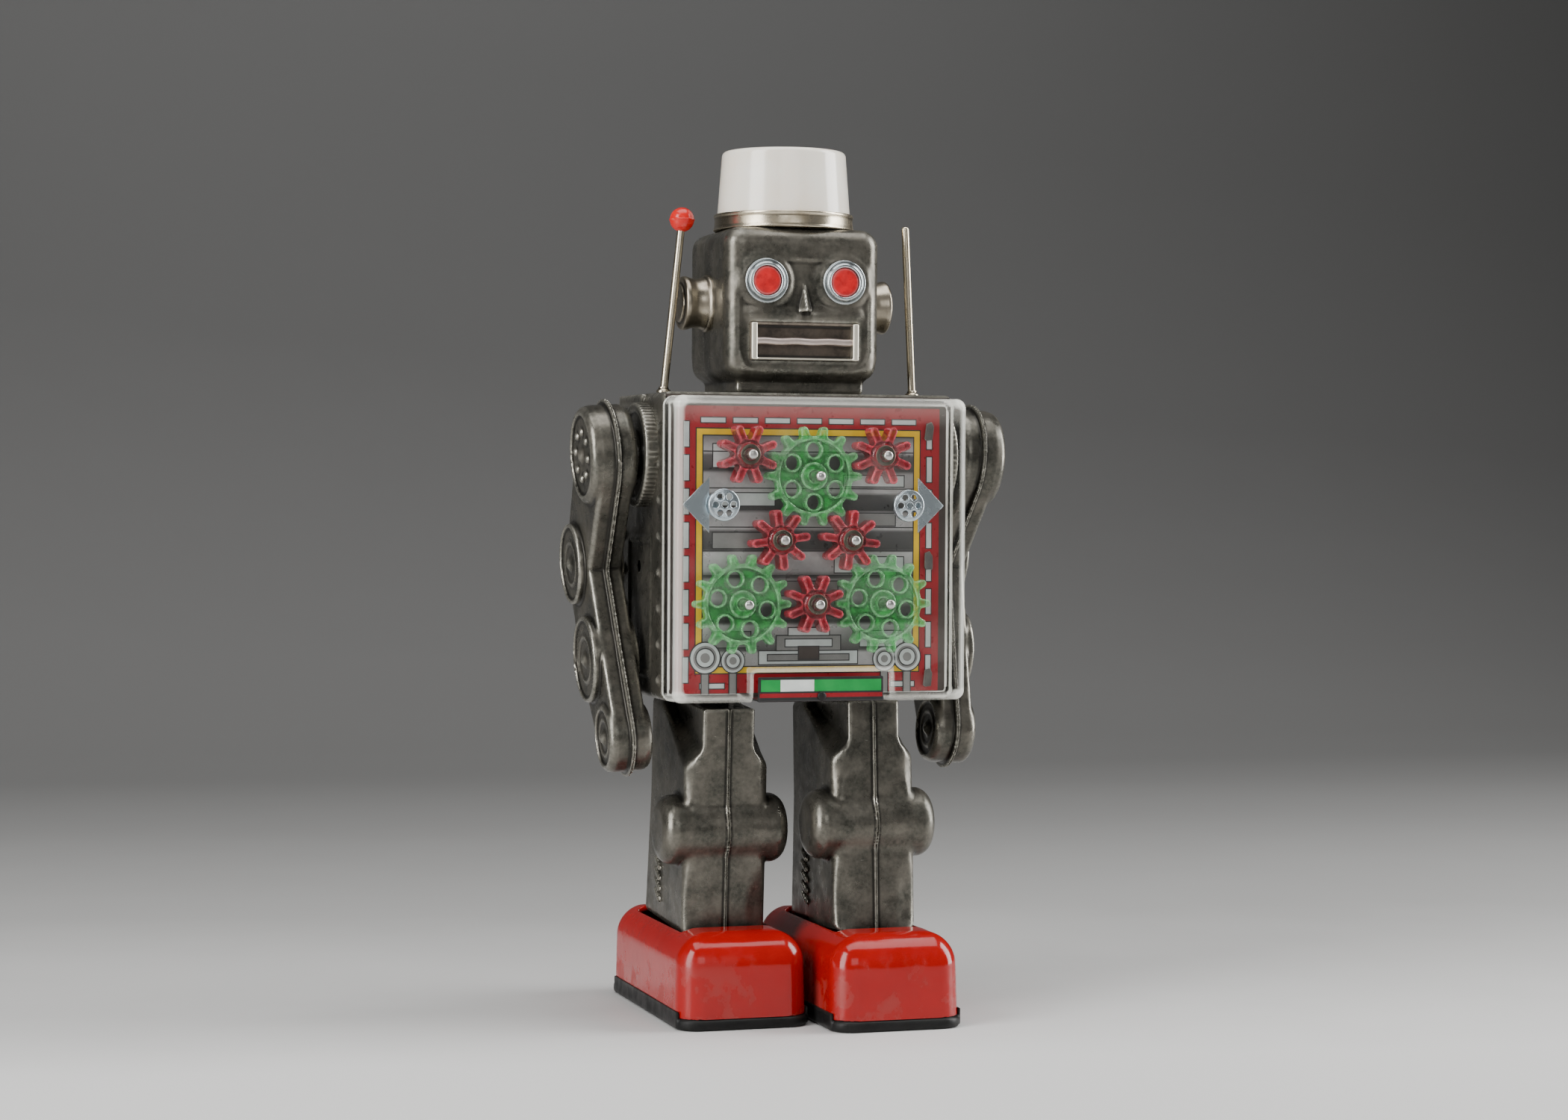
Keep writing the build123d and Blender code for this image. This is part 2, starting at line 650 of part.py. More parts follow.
def governor():
    """Air-brake fan on the last arbor."""
    x, z = polar((0, ARBOR_Z), TRAIN_DISTANCE, GOVERNOR_ANGLE)
    arbor = rod_y(x, z, 1.0, PLATE_FRONT, PLATE_REAR + PLATE_T)
    phase = meshed_phase(GREAT_TEETH, 90.0, PINION_TEETH, GOVERNOR_ANGLE)
    pinion = train_wheel((x, z), PINION_TEETH, phase, -20.2, -17.8, 0)
    fan = block((x - 7.5, x + 7.5), (-14.5, -10.5), (z - 0.5, z + 0.5))
    return arbor + pinion + fan


def hip_shaft():
    return rod_x(HIP_Y, HIP_Z, HIP_SHAFT_R, -TORSO_HALF_W, TORSO_HALF_W)


# ---------------------------------------------------------------- arms

def arm_outline(grow):
    """Side outline of an arm from its four circles, grown evenly."""
    outline = Sketch()
    for (y0, z0, r0), (y1, z1, r1) in zip(ARM_STATIONS, ARM_STATIONS[1:]):
        outline += strip((y0, z0), r0 + grow, (y1, z1), r1 + grow)
    return outline


def place_arm(shape, side):
    """Lean an arm inwards about its shoulder and swing it to its resting angle."""
    y, z, _ = ARM_STATIONS[0]
    leaned = shape.rotate(Axis((side * ARM_FLANGE_X, 0, z), (0, 1, 0)), side * ARM_TILT)
    return swing(leaned, y, z, side * ARM_SWING_REST)


def arm_half(side, depth, outward):
    """One pressed half of an arm: a hollow tray with a narrow flange round its open side."""
    direction = side * outward
    seam = side * ARM_FLANGE_X

    def slab(grow, near, far):
        low, high = sorted((seam + direction * near, seam + direction * far))
        return prism_x(arm_outline(grow), low, high)

    tray = slab(-1.2, 0, depth) + slab(0, 0, depth - 1.2) + slab(ARM_FLANGE_LIP, 0, 0.6)
    return tray - slab(-TIN - 1.2, 0, depth - TIN) - slab(-TIN, -1, depth - 1.2 - TIN)


def arm_disc(side, y, z, radius):
    """Raised disc with a shallow dish and a boss, and the hollow behind it."""
    near = ARM_FLANGE_X + ARM_OUTER_DEPTH
    face = near + ARM_DISC_PROUD
    floor = face - ARM_DISC_DISH
    disc = rod_x(y, z, radius, *span(side, near - 0.1, face))
    disc -= rod_x(y, z, radius - 1.8, *span(side, floor, face + 1))
    hollow = rod_x(y, z, radius - TIN, *span(side, near - TIN - 1, floor - TIN))
    boss = rod_x(y, z, 2.2, *span(side, floor - TIN, face))
    return disc - hollow + boss, hollow


def arm_outer(side):
    """Outer half, with a raised disc at the shoulder, elbow, forearm and hand."""
    half = arm_half(side, ARM_OUTER_DEPTH, 1)
    for y, z, radius in ARM_STATIONS:
        disc, hollow = arm_disc(side, y, z, radius - ARM_DISC_INSET)
        half = half - hollow + disc
    return place_arm(half, side)


def arm_inner(side):
    y, z, _ = ARM_STATIONS[0]
    half = place_arm(arm_half(side, ARM_INNER_DEPTH, -1), side)
    return half - rod_x(y, z, ARM_SHAFT_R, *span(side, 40, ARM_FLANGE_X + 2))


def arm_shaft(side):
    """Shoulder shaft with the small lever that swings the arm."""
    y, z, _ = ARM_STATIONS[0]
    shaft = rod_x(y, z, ARM_SHAFT_R, *span(side, 45.0, ARM_FLANGE_X - 1.0))
    lever = prism_x(strip((y, z), 5.0, (y, z - 11), 3.0), *span(side, 45.5, 47.0))
    return swing(shaft + lever, y, z, side * ARM_SWING_REST)


# ---------------------------------------------------------------- legs

def leg_side(inset):
    """Side outline of the leg below its ledge, in (y, z)."""
    ledge_front_z = LEDGE_BACK_Z - LEDGE_SLOPE * (LEG_BACK_TOP - LEG_FRONT)
    points = [
        (LEG_FRONT + inset, LEG_BOTTOM),
        (LEG_BACK_BOTTOM - inset, LEG_BOTTOM),
        (LEG_BACK_TOP - inset, KNEE_BEND_Z),
        (LEG_BACK_TOP - inset, LEDGE_BACK_Z - inset),
        (LEG_FRONT + inset, ledge_front_z - inset),
    ]
    return make_face(Polyline(*points, close=True))


def leg_form(inset):
    """Leg about x = 0: wide lower part, narrow hip above a sloping ledge, and a cross roll at the knee."""
    half_w = LEG_HALF_W - inset
    form = prism_x(leg_side(inset), -half_w, half_w)
    form += block(
        (-HIP_HALF_W + inset, HIP_HALF_W - inset),
        (LEG_FRONT + inset, LEG_BACK_TOP - inset),
        (KNEE_Z, LEG_TOP - inset),
    )
    knee = rod_x(KNEE_Y, KNEE_Z, KNEE_R - inset, -KNEE_HALF_W + inset, KNEE_HALF_W - inset)
    return form + fillet(knee.edges().filter_by(GeomType.CIRCLE), KNEE_EDGE_R - inset)


def leg_seam():
    """Thin folded seam down the front, which follows the roll of the knee."""
    strip_low = LEG_FRONT - SEAM_PROUD
    seam = block((-SEAM_HALF_T, SEAM_HALF_T), (strip_low, LEG_FRONT + 2), (LEG_BOTTOM, LEG_TOP))
    seam += rod_x(KNEE_Y, KNEE_Z, KNEE_R + SEAM_PROUD, -SEAM_HALF_T, SEAM_HALF_T)
    return seam


def leg_shell(side, outward):
    """One pressed half of a leg, from the seam plane outwards or inwards."""
    shell = leg_form(0.0) + leg_seam() - leg_form(TIN)
    for offset in (-STRAP_OFFSET, STRAP_OFFSET):
        shell -= block(
            (offset - STRAP_T / 2, offset + STRAP_T / 2),
            (HIP_Y - STRAP_HALF_W, HIP_Y + STRAP_HALF_W),
            (LEG_TOP - 2, LEG_TOP + 1),
        )
    shell -= block((-HIP_HALF_W + TIN, HIP_HALF_W - TIN), (-12, 18), (LEG_BOTTOM - 1, LEG_BOTTOM + 2))
    half_space = block(span(side * outward, 0, 40), (-60, 60), (0, 120))
    return swing(Pos(side * LEG_X) * (shell & half_space), HIP_Y, HIP_Z, side * -STRIDE_REST)


def leg_link(side):
    """Two straps from the ankle to the hip; the outer one goes on up round its eccentric."""
    ankle_z = HIP_Z - (HIP_Z - ANKLE_Z) / math.cos(math.radians(STRIDE_REST))
    ankle = (HIP_Y, ankle_z)
    hip = (HIP_Y, HIP_Z)
    plain = strip(ankle, STRAP_HALF_W, hip, STRAP_HALF_W)
    window_half = (THROW + ECCENTRIC_R + 2.9, THROW + ECCENTRIC_R + 0.9)
    frame_w = 3.2
    driven = plain + Pos(HIP_Y, (HIP_Z + TOP_GEAR_Z) / 2) * Rectangle(2 * STRAP_HALF_W, TOP_GEAR_Z - HIP_Z)
    window = Rectangle(2 * window_half[0], 2 * window_half[1])
    frame = Rectangle(2 * (window_half[0] + frame_w), 2 * (window_half[1] + frame_w))
    driven += Pos(CRANK_Y, TOP_GEAR_Z) * frame
    driven -= Pos(CRANK_Y, TOP_GEAR_Z) * window
    straps = []
    for outline, offset in ((driven, side * STRAP_OFFSET), (plain, -side * STRAP_OFFSET)):
        outline -= Pos(*hip) * Circle(HIP_SHAFT_R + RUNNING_GAP)
        outline -= Pos(*ankle) * Circle(ANKLE_R + RUNNING_GAP)
        middle = side * LEG_X + offset
        strap = prism_x(outline, middle - STRAP_T / 2, middle + STRAP_T / 2)
        straps.append(swing(strap, HIP_Y, HIP_Z, side * -STRIDE_REST))
    return straps


# ---------------------------------------------------------------- feet

def ankle_y(side):
    """Where the ankle stands with the leg at its resting angle."""
    return HIP_Y + side * -(HIP_Z - ANKLE_Z) * math.tan(math.radians(STRIDE_REST))


def foot_middle(side):
    return (side * FOOT_X, ankle_y(side) - ANKLE_FORWARD)


def foot_form(inset, bottom):
    """Rounded foot about x = y = 0: the overlap of its plan, front and side outlines."""
    half_w = FOOT_HALF_W - inset
    half_l = FOOT_HALF_L - inset
    top = FOOT_TOP - inset
    plan = prism_z(RectangleRounded(2 * half_w, 2 * half_l, FOOT_CORNER_R - inset), bottom, top)
    middle_z = (top + bottom) / 2 - FOOT_EDGE_R
    height = top - bottom + 2 * FOOT_EDGE_R
    edge_r = FOOT_EDGE_R - inset
    front = prism_y(Pos(0, middle_z) * RectangleRounded(2 * half_w, height, edge_r), -half_l, half_l)
    side = prism_x(Pos(0, middle_z) * RectangleRounded(2 * half_l, height, edge_r), -half_w, half_w)
    return plan & front & side


def foot_shell(side):
    x, y = foot_middle(side)
    shell = foot_form(0.0, SOLE_T) - foot_form(TIN, SOLE_T - 1)
    leg_middle = side * LEG_X
    hole = block(
        (leg_middle - LEG_HALF_W - 1.2, leg_middle + LEG_HALF_W + 1.2),
        (ankle_y(side) + LEG_FRONT - HIP_Y - SEAM_PROUD - 3.2, ankle_y(side) + LEG_BACK_BOTTOM - HIP_Y + 2.4),
        (LEG_BOTTOM - 3.5, FOOT_TOP + 1),
    )
    return Pos(x, y) * shell - hole


def foot_sole(side):
    """Black base plate with tabs for the ankle pin and the roller's axle."""
    x, y = foot_middle(side)
    plan = RectangleRounded(2 * (FOOT_HALF_W + SOLE_PROUD), 2 * (FOOT_HALF_L + SOLE_PROUD), FOOT_CORNER_R)
    sole = prism_z(Pos(x, y) * plan, 0, SOLE_T)
    roller_y = y - ROLLER_FORWARD
    sole -= block((x - 7.5, x + 7.5), (roller_y - 6, roller_y + 6), (-1, SOLE_T + 1))
    for offset in (-10.0, 10.0):
        tab = block(
            (side * LEG_X + offset - 0.8, side * LEG_X + offset + 0.8),
            (ankle_y(side) - 5, ankle_y(side) + 5),
            (SOLE_T, ANKLE_Z + 4),
        )
        sole += tab - rod_x(ankle_y(side), ANKLE_Z, ANKLE_R, -60, 60)
    for offset in (-8.6, 8.6):
        sole += block(
            (x + offset - 0.6, x + offset + 0.6),
            (roller_y - 3, roller_y + 3),
            (SOLE_T - 0.1, ROLLER_R + 3),
        )
    return sole - rod_x(roller_y, ROLLER_R, 1.2 + RUNNING_GAP, x - 10, x + 10)


def ankle_pin(side):
    middle = side * LEG_X
    return rod_x(ankle_y(side), ANKLE_Z, ANKLE_R, middle - 11.5, middle + 11.5)


def toe_roller(side):
    """Roller with its axle, just touching the ground."""
    x, y = foot_middle(side)
    roller_y = y - ROLLER_FORWARD
    roller = rod_x(roller_y, ROLLER_R, ROLLER_R, x - 6.5, x + 6.5)
    return roller + rod_x(roller_y, ROLLER_R, 1.2, x - 9.6, x + 9.6)


# ---------------------------------------------------------------- every piece

def all_nodes():
    nodes = {
        "torso_shell": torso_shell(),
        "torso_back": torso_back(),
        "chest_plate": chest_plate(),
        "chest_window": chest_window(),
        "window_clip": window_clip(),
        "arrow_plates": arrow_plates(),
        "perforated_discs": perforated_discs(),
        "gear_pins": gear_pins(),
        "shoulder_bosses": shoulder_bosses(),
        "head_shell": head_shell(),
        "mouth_frame": mouth_frame(),
        "mouth_bar": mouth_bar(),
        "eye_rings": eye_rings(),
        "eye_lenses": eye_lenses(),
        "ears": ears(),
        "cap_collar": cap_collar(),
        "cap": cap(),
        "antenna_rods": antenna_rods(),
        "antenna_ball": antenna_ball(),
        "movement_plates": movement_plates(),
        "movement_pillars": movement_pillars(),
        "mainspring": mainspring(),
        "hip_shaft": hip_shaft(),
        "great_wheel": great_wheel(),
        "click": click(),
        "winding_arbor": winding_arbor(),
        "winding_key": winding_key(),
        "chest_shaft": chest_shaft(),
        "crown_wheel": crown_wheel(),
        "crank_shaft": crank_shaft(),
        "governor": governor(),
    }
    for name, (size, centre, phase) in gear_places().items():
        nodes[name] = large_gear(centre, phase) if size == "large" else small_gear(centre, phase)
    for name, side in SIDES.items():
        nodes[f"arm_outer_{name}"] = arm_outer(side)
        nodes[f"arm_inner_{name}"] = arm_inner(side)
        nodes[f"arm_shaft_{name}"] = arm_shaft(side)
        nodes[f"leg_outer_{name}"] = leg_shell(side, 1)
        nodes[f"leg_inner_{name}"] = leg_shell(side, -1)
        nodes[f"leg_link_{name}"] = leg_link(side)
        nodes[f"ankle_pin_{name}"] = ankle_pin(side)
        nodes[f"foot_shell_{name}"] = foot_shell(side)
        nodes[f"foot_sole_{name}"] = foot_sole(side)
        nodes[f"toe_roller_{name}"] = toe_roller(side)
    return nodes


os.makedirs("parts", exist_ok=True)
for node_name, shape in all_nodes().items():
    pieces = shape if isinstance(shape, list) else [shape]
    export_step(Compound(children=[Part() + piece for piece in pieces]), f"parts/{node_name}.step")
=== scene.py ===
import math

import bpy
import numpy as np
from mathutils import Matrix, Vector


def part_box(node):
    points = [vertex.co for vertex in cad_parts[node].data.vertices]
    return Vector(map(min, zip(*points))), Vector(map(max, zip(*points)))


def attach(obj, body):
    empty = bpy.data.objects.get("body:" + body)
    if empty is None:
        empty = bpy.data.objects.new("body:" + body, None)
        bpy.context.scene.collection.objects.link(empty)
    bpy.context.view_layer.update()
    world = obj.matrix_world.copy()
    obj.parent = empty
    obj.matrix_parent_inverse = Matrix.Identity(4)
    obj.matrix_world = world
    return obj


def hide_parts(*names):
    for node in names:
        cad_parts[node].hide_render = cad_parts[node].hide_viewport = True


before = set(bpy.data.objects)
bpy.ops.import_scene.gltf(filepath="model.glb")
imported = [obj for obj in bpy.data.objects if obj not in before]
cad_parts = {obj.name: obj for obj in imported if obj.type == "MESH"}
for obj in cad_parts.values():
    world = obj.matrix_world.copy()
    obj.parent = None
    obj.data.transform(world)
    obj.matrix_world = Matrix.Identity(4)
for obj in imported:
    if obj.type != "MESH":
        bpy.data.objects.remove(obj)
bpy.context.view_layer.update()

# Shapes below are written in millimetres and scaled to metres when their mesh is made.
MM = 0.001
SIDES = {"right": -1, "left": 1}


def corners(node):
    """Lowest and highest corner of a CAD node, in millimetres."""
    low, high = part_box(node)
    return np.array(low) / MM, np.array(high) / MM


def middle(node):
    """Centre of a CAD node's box, in millimetres."""
    low, high = corners(node)
    return (low + high) / 2


# ---------------------------------------------------------------- distance fields
# A field takes arrays of places in millimetres and gives about the distance to a surface, negative inside it.

def slab(value, low, high):
    """Distance to the space between two parallel planes."""
    return np.abs(value - (low + high) / 2) - (high - low) / 2


def round_meet(a, b, radius):
    """Where both fields are inside, with the edge between them rounded."""
    a, b = a + radius, b + radius
    return np.minimum(np.maximum(a, b), 0) + np.hypot(np.maximum(a, 0), np.maximum(b, 0)) - radius


def join(a, b, fillet):
    """Either field, with a fillet where they meet."""
    overlap = np.maximum(fillet - np.abs(a - b), 0) / fillet
    return np.minimum(a, b) - overlap * overlap * fillet / 4


def cut(a, b, fillet):
    """The first field without the second."""
    return -join(-a, b, fillet)


def rectangle(a, b, half_a, half_b, radius):
    """Rounded rectangle about the origin of a plane."""
    a, b = np.abs(a) - half_a + radius, np.abs(b) - half_b + radius
    return np.minimum(np.maximum(a, b), 0) + np.hypot(np.maximum(a, 0), np.maximum(b, 0)) - radius


def box(x, y, z, low, high, radius):
    """Rounded box between two corners."""
    q = [np.abs(v - (lo + hi) / 2) - (hi - lo) / 2 + radius for v, lo, hi in zip((x, y, z), low, high)]
    outside = np.sqrt(sum(np.maximum(v, 0) ** 2 for v in q))
    return outside + np.minimum(np.maximum(np.maximum(q[0], q[1]), q[2]), 0) - radius


def capsule(x, y, z, start, end, radius):
    """Round-ended bar between two points."""
    start, along = np.array(start, float), np.subtract(end, start).astype(float)
    offset = [x - start[0], y - start[1], z - start[2]]
    share = np.clip(sum(o * a for o, a in zip(offset, along)) / (along @ along), 0, 1)
    return np.sqrt(sum((o - share * a) ** 2 for o, a in zip(offset, along))) - radius


def strip(a, b, start, start_r, end, end_r):
    """Two circles of a plane joined by their outer tangents."""
    da, db = end[0] - start[0], end[1] - start[1]
    length = math.hypot(da, db)
    along = ((a - start[0]) * da + (b - start[1]) * db) / length
    across = np.abs((a - start[0]) * db - (b - start[1]) * da) / length
    lean = (start_r - end_r) / length
    rise = math.sqrt(1 - lean * lean)
    place = along * rise - across * lean
    side = across * rise + along * lean - start_r
    near = np.hypot(across, along) - start_r
    far = np.hypot(across, along - length) - end_r
    return np.where(place < 0, near, np.where(place > rise * length, far, side))


def polygon(a, b, points):
    """Distance to a simple polygon of a plane."""
    nearest = np.full(a.shape, np.inf)
    inside = np.zeros(a.shape, bool)
    for (a0, b0), (a1, b1) in zip(points, points[1:] + points[:1]):
        da, db = a1 - a0, b1 - b0
        share = np.clip(((a - a0) * da + (b - b0) * db) / (da * da + db * db), 0, 1)
        nearest = np.minimum(nearest, np.hypot(a - a0 - share * da, b - b0 - share * db))
        if db != 0:
            crosses = (b0 > b) != (b1 > b)
            inside ^= crosses & (a < a0 + (b - b0) * da / db)
    return np.where(inside, -nearest, nearest)


# ---------------------------------------------------------------- meshes

def surface(field, low, high, cell):
    """Vertices and faces of a field's zero surface, by surface nets and a few Newton steps."""
    axes = [np.arange(lo - 1.5 * cell, hi + 2.5 * cell, cell) for lo, hi in zip(low, high)]
    origin = np.array([axis[0] for axis in axes])
    plane_y, plane_z = (v.ravel() for v in np.meshgrid(axes[1], axes[2], indexing="ij"))
    rows = [field(np.full(plane_y.size, x), plane_y, plane_z) for x in axes[0]]
    grid = np.array(rows).reshape([len(axis) for axis in axes])
    inside = np.zeros(grid.shape, bool)
    core = (slice(1, -1),) * 3
    inside[core] = grid[core] < 0
    cells, points, facing = [], [], []
    for axis in range(3):
        step = np.eye(3, dtype=int)[axis]
        u, v = np.eye(3, dtype=int)[(axis + 1) % 3], np.eye(3, dtype=int)[(axis + 2) % 3]
        ahead = tuple(slice(s, None) for s in step)
        behind = tuple(slice(None, n - s) for n, s in zip(grid.shape, step))
        index = np.argwhere(inside[behind] != inside[ahead])
        here = grid[tuple(index.T)]
        there = grid[tuple((index + step).T)]
        share = np.abs(here / np.where(here == there, 1, here - there)).clip(0, 1)[:, None]
        points.append(origin + (index + share * step) * cell)
        cells.append(np.stack([index - u - v, index - v, index, index - u], axis=1))
        facing.append(inside[tuple(index.T)])
    cells, points, facing = np.concatenate(cells), np.concatenate(points), np.concatenate(facing)
    keys = np.ravel_multi_index(tuple(cells.reshape(-1, 3).T), grid.shape)
    unique, faces = np.unique(keys, return_inverse=True)
    faces = faces.reshape(-1, 4)
    count = np.bincount(faces.ravel(), minlength=unique.size)
    totals = [np.bincount(faces.ravel(), np.repeat(points[:, i], 4), unique.size) for i in range(3)]
    verts = np.stack(totals, axis=1) / count[:, None]
    for _ in range(3):
        slope = gradient(field, verts, cell * 0.1)
        steepness = np.maximum((slope**2).sum(1), 0.3)
        move = np.clip(field(*verts.T) / steepness, -cell / 2, cell / 2)
        verts = verts - slope * move[:, None]
    faces[~facing] = faces[~facing][:, ::-1]
    return verts, faces


def gradient(field, points, step):
    """Slope of a field at some points, from differences along each axis."""
    slope = np.empty_like(points)
    for axis in range(3):
        offset = np.eye(3)[axis] * step
        slope[:, axis] = (field(*(points + offset).T) - field(*(points - offset).T)) / (2 * step)
    return slope


def lathe(profile, segments=72):
    """Turn a profile of (radius, height) points about Z. Radius 0 closes an end."""
    verts, faces, rings = [], [], []
    for radius, height in profile:
        if radius < 1e-6:
            rings.append([len(verts)])
            verts.append((0.0, 0.0, height))
            continue
        rings.append(list(range(len(verts), len(verts) + segments)))
        for k in range(segments):
            angle = 2 * math.pi * k / segments
            verts.append((radius * math.cos(angle), radius * math.sin(angle), height))
    for lower, upper in zip(rings, rings[1:]):
        for k in range(segments):
            quad = [lower[k % len(lower)], lower[(k + 1) % len(lower)]]
            quad += [upper[(k + 1) % len(upper)], upper[k % len(upper)]]
            faces.append(tuple(dict.fromkeys(quad)))
    return np.array(verts), faces


def rounded(profile, radius, steps=5):
    """Round each corner of an open profile, starting up to the given reach from it."""
    result = [profile[0]]
    for before, corner, after in zip(profile, profile[1:], profile[2:]):
        before, corner, after = (np.array(p, float) for p in (before, corner, after))
        back, on = before - corner, after - corner
        reach = min(radius, np.linalg.norm(back) * 0.49, np.linalg.norm(on) * 0.49)
        start = corner + back / np.linalg.norm(back) * reach
        end = corner + on / np.linalg.norm(on) * reach
        for k in range(steps + 1):
            t = k / steps
            result.append(tuple((1 - t) ** 2 * start + 2 * t * (1 - t) * corner + t * t * end))
    return result + [profile[-1]]


def plate(outlines, thickness, bevel):
    """Flat plate from closed outlines in (x, y), the later ones being holes, with rounded edges."""
    curve = bpy.data.curves.new("outline", "CURVE")
    curve.dimensions = "2D"
    curve.fill_mode = "BOTH"
    curve.extrude = thickness / 2 - bevel
    curve.bevel_depth = bevel
    curve.bevel_resolution = 2
    curve.offset = -bevel
    for outline in outlines:
        spline = curve.splines.new("POLY")
        spline.points.add(len(outline) - 1)
        for point, (x, y) in zip(spline.points, outline):
            point.co = (x, y, 0, 1)
        spline.use_cyclic_u = True
    holder = bpy.data.objects.new("outline", curve)
    mesh = bpy.data.meshes.new_from_object(holder)
    verts = np.array([v.co for v in mesh.vertices])
    faces = [tuple(p.vertices) for p in mesh.polygons]
    bpy.data.objects.remove(holder)
    bpy.data.meshes.remove(mesh)
    return verts, faces


def circle(x, y, radius, count):
    turns = [2 * math.pi * k / count for k in range(count)]
    return [(x + radius * math.cos(t), y + radius * math.sin(t)) for t in turns]


def merge(*parts):
    """Several (vertices, faces) as one."""
    verts, faces, start = [], [], 0
    for part_verts, part_faces in parts:
        verts.append(np.asarray(part_verts, float))
        faces += [tuple(int(i) + start for i in face) for face in part_faces]
        start += len(part_verts)
    return np.concatenate(verts), faces


def turned(verts, axis, degrees, centre=(0, 0, 0)):
    matrix = np.array(Matrix.Rotation(math.radians(degrees), 3, axis))
    return (np.asarray(verts) - centre) @ matrix.T + centre


def facing_front(verts):
    """Turn a shape made about Z so that its top looks along -Y."""
    return turned(verts, "X", 90)


def facing_side(verts, side):
    """Turn a shape made about Z so that its top looks outwards on one side."""
    return turned(verts, "Y", side * 90)


def curvature_of(mesh):
    """Store how sharply the surface bends outwards at each vertex, in 1/mm, as the attribute curvature, which
    the materials use for rubbed wear, for painted shade where the surface bends in and for painted highlights
    on plastic edges.
    """
    count = len(mesh.vertices)
    place, normal = np.zeros(count * 3), np.zeros(count * 3)
    mesh.vertices.foreach_get("co", place)
    mesh.vertex_normals.foreach_get("vector", normal)
    place, normal = place.reshape(-1, 3) / MM, normal.reshape(-1, 3)
    edges = np.zeros(len(mesh.edges) * 2, int)
    mesh.edges.foreach_get("vertices", edges)
    a, b = edges.reshape(-1, 2).T
    gap = place[b] - place[a]
    bend = ((normal[b] - normal[a]) * gap).sum(1) / np.maximum((gap**2).sum(1), 1e-4)
    degree = np.maximum(np.bincount(a, minlength=count) + np.bincount(b, minlength=count), 1)
    curvature = (np.bincount(a, bend, count) + np.bincount(b, bend, count)) / degree
    for _ in range(2):
        curvature = (curvature + (np.bincount(a, curvature[b], count) + np.bincount(b, curvature[a], count)) / degree) / 2
    attribute = mesh.attributes.new("curvature", "FLOAT", "POINT")
    attribute.data.foreach_set("value", curvature.astype(np.float32))


def piece(name, shape, material, body, replaces=(), slot=None, crease=40):
    """Make an object from (vertices, faces) in millimetres and fix it to a body."""
    verts, faces = shape
    mesh = bpy.data.meshes.new(name)
    mesh.from_pydata((np.asarray(verts) * MM).tolist(), [], [tuple(map(int, f)) for f in faces])
    mesh.shade_smooth()
    if crease:
        mesh.set_sharp_from_angle(angle=math.radians(crease))
    curvature_of(mesh)
    materials = material if isinstance(material, (list, tuple)) else [material]
    for item in materials:
        mesh.materials.append(item)
    thing = bpy.data.objects.new(name, mesh)
    bpy.context.scene.collection.objects.link(thing)
    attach(thing, body)
    if replaces:
        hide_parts(*replaces)
    return thing


def stand_in(node, shape, material, body, slot, crease=40):
    """A piece that takes the name and the place of one CAD node."""
    return piece(node, shape, material, body, [node], slot, crease)


# ---------------------------------------------------------------- materials

# The material functions below take colours as linear red, green and blue.

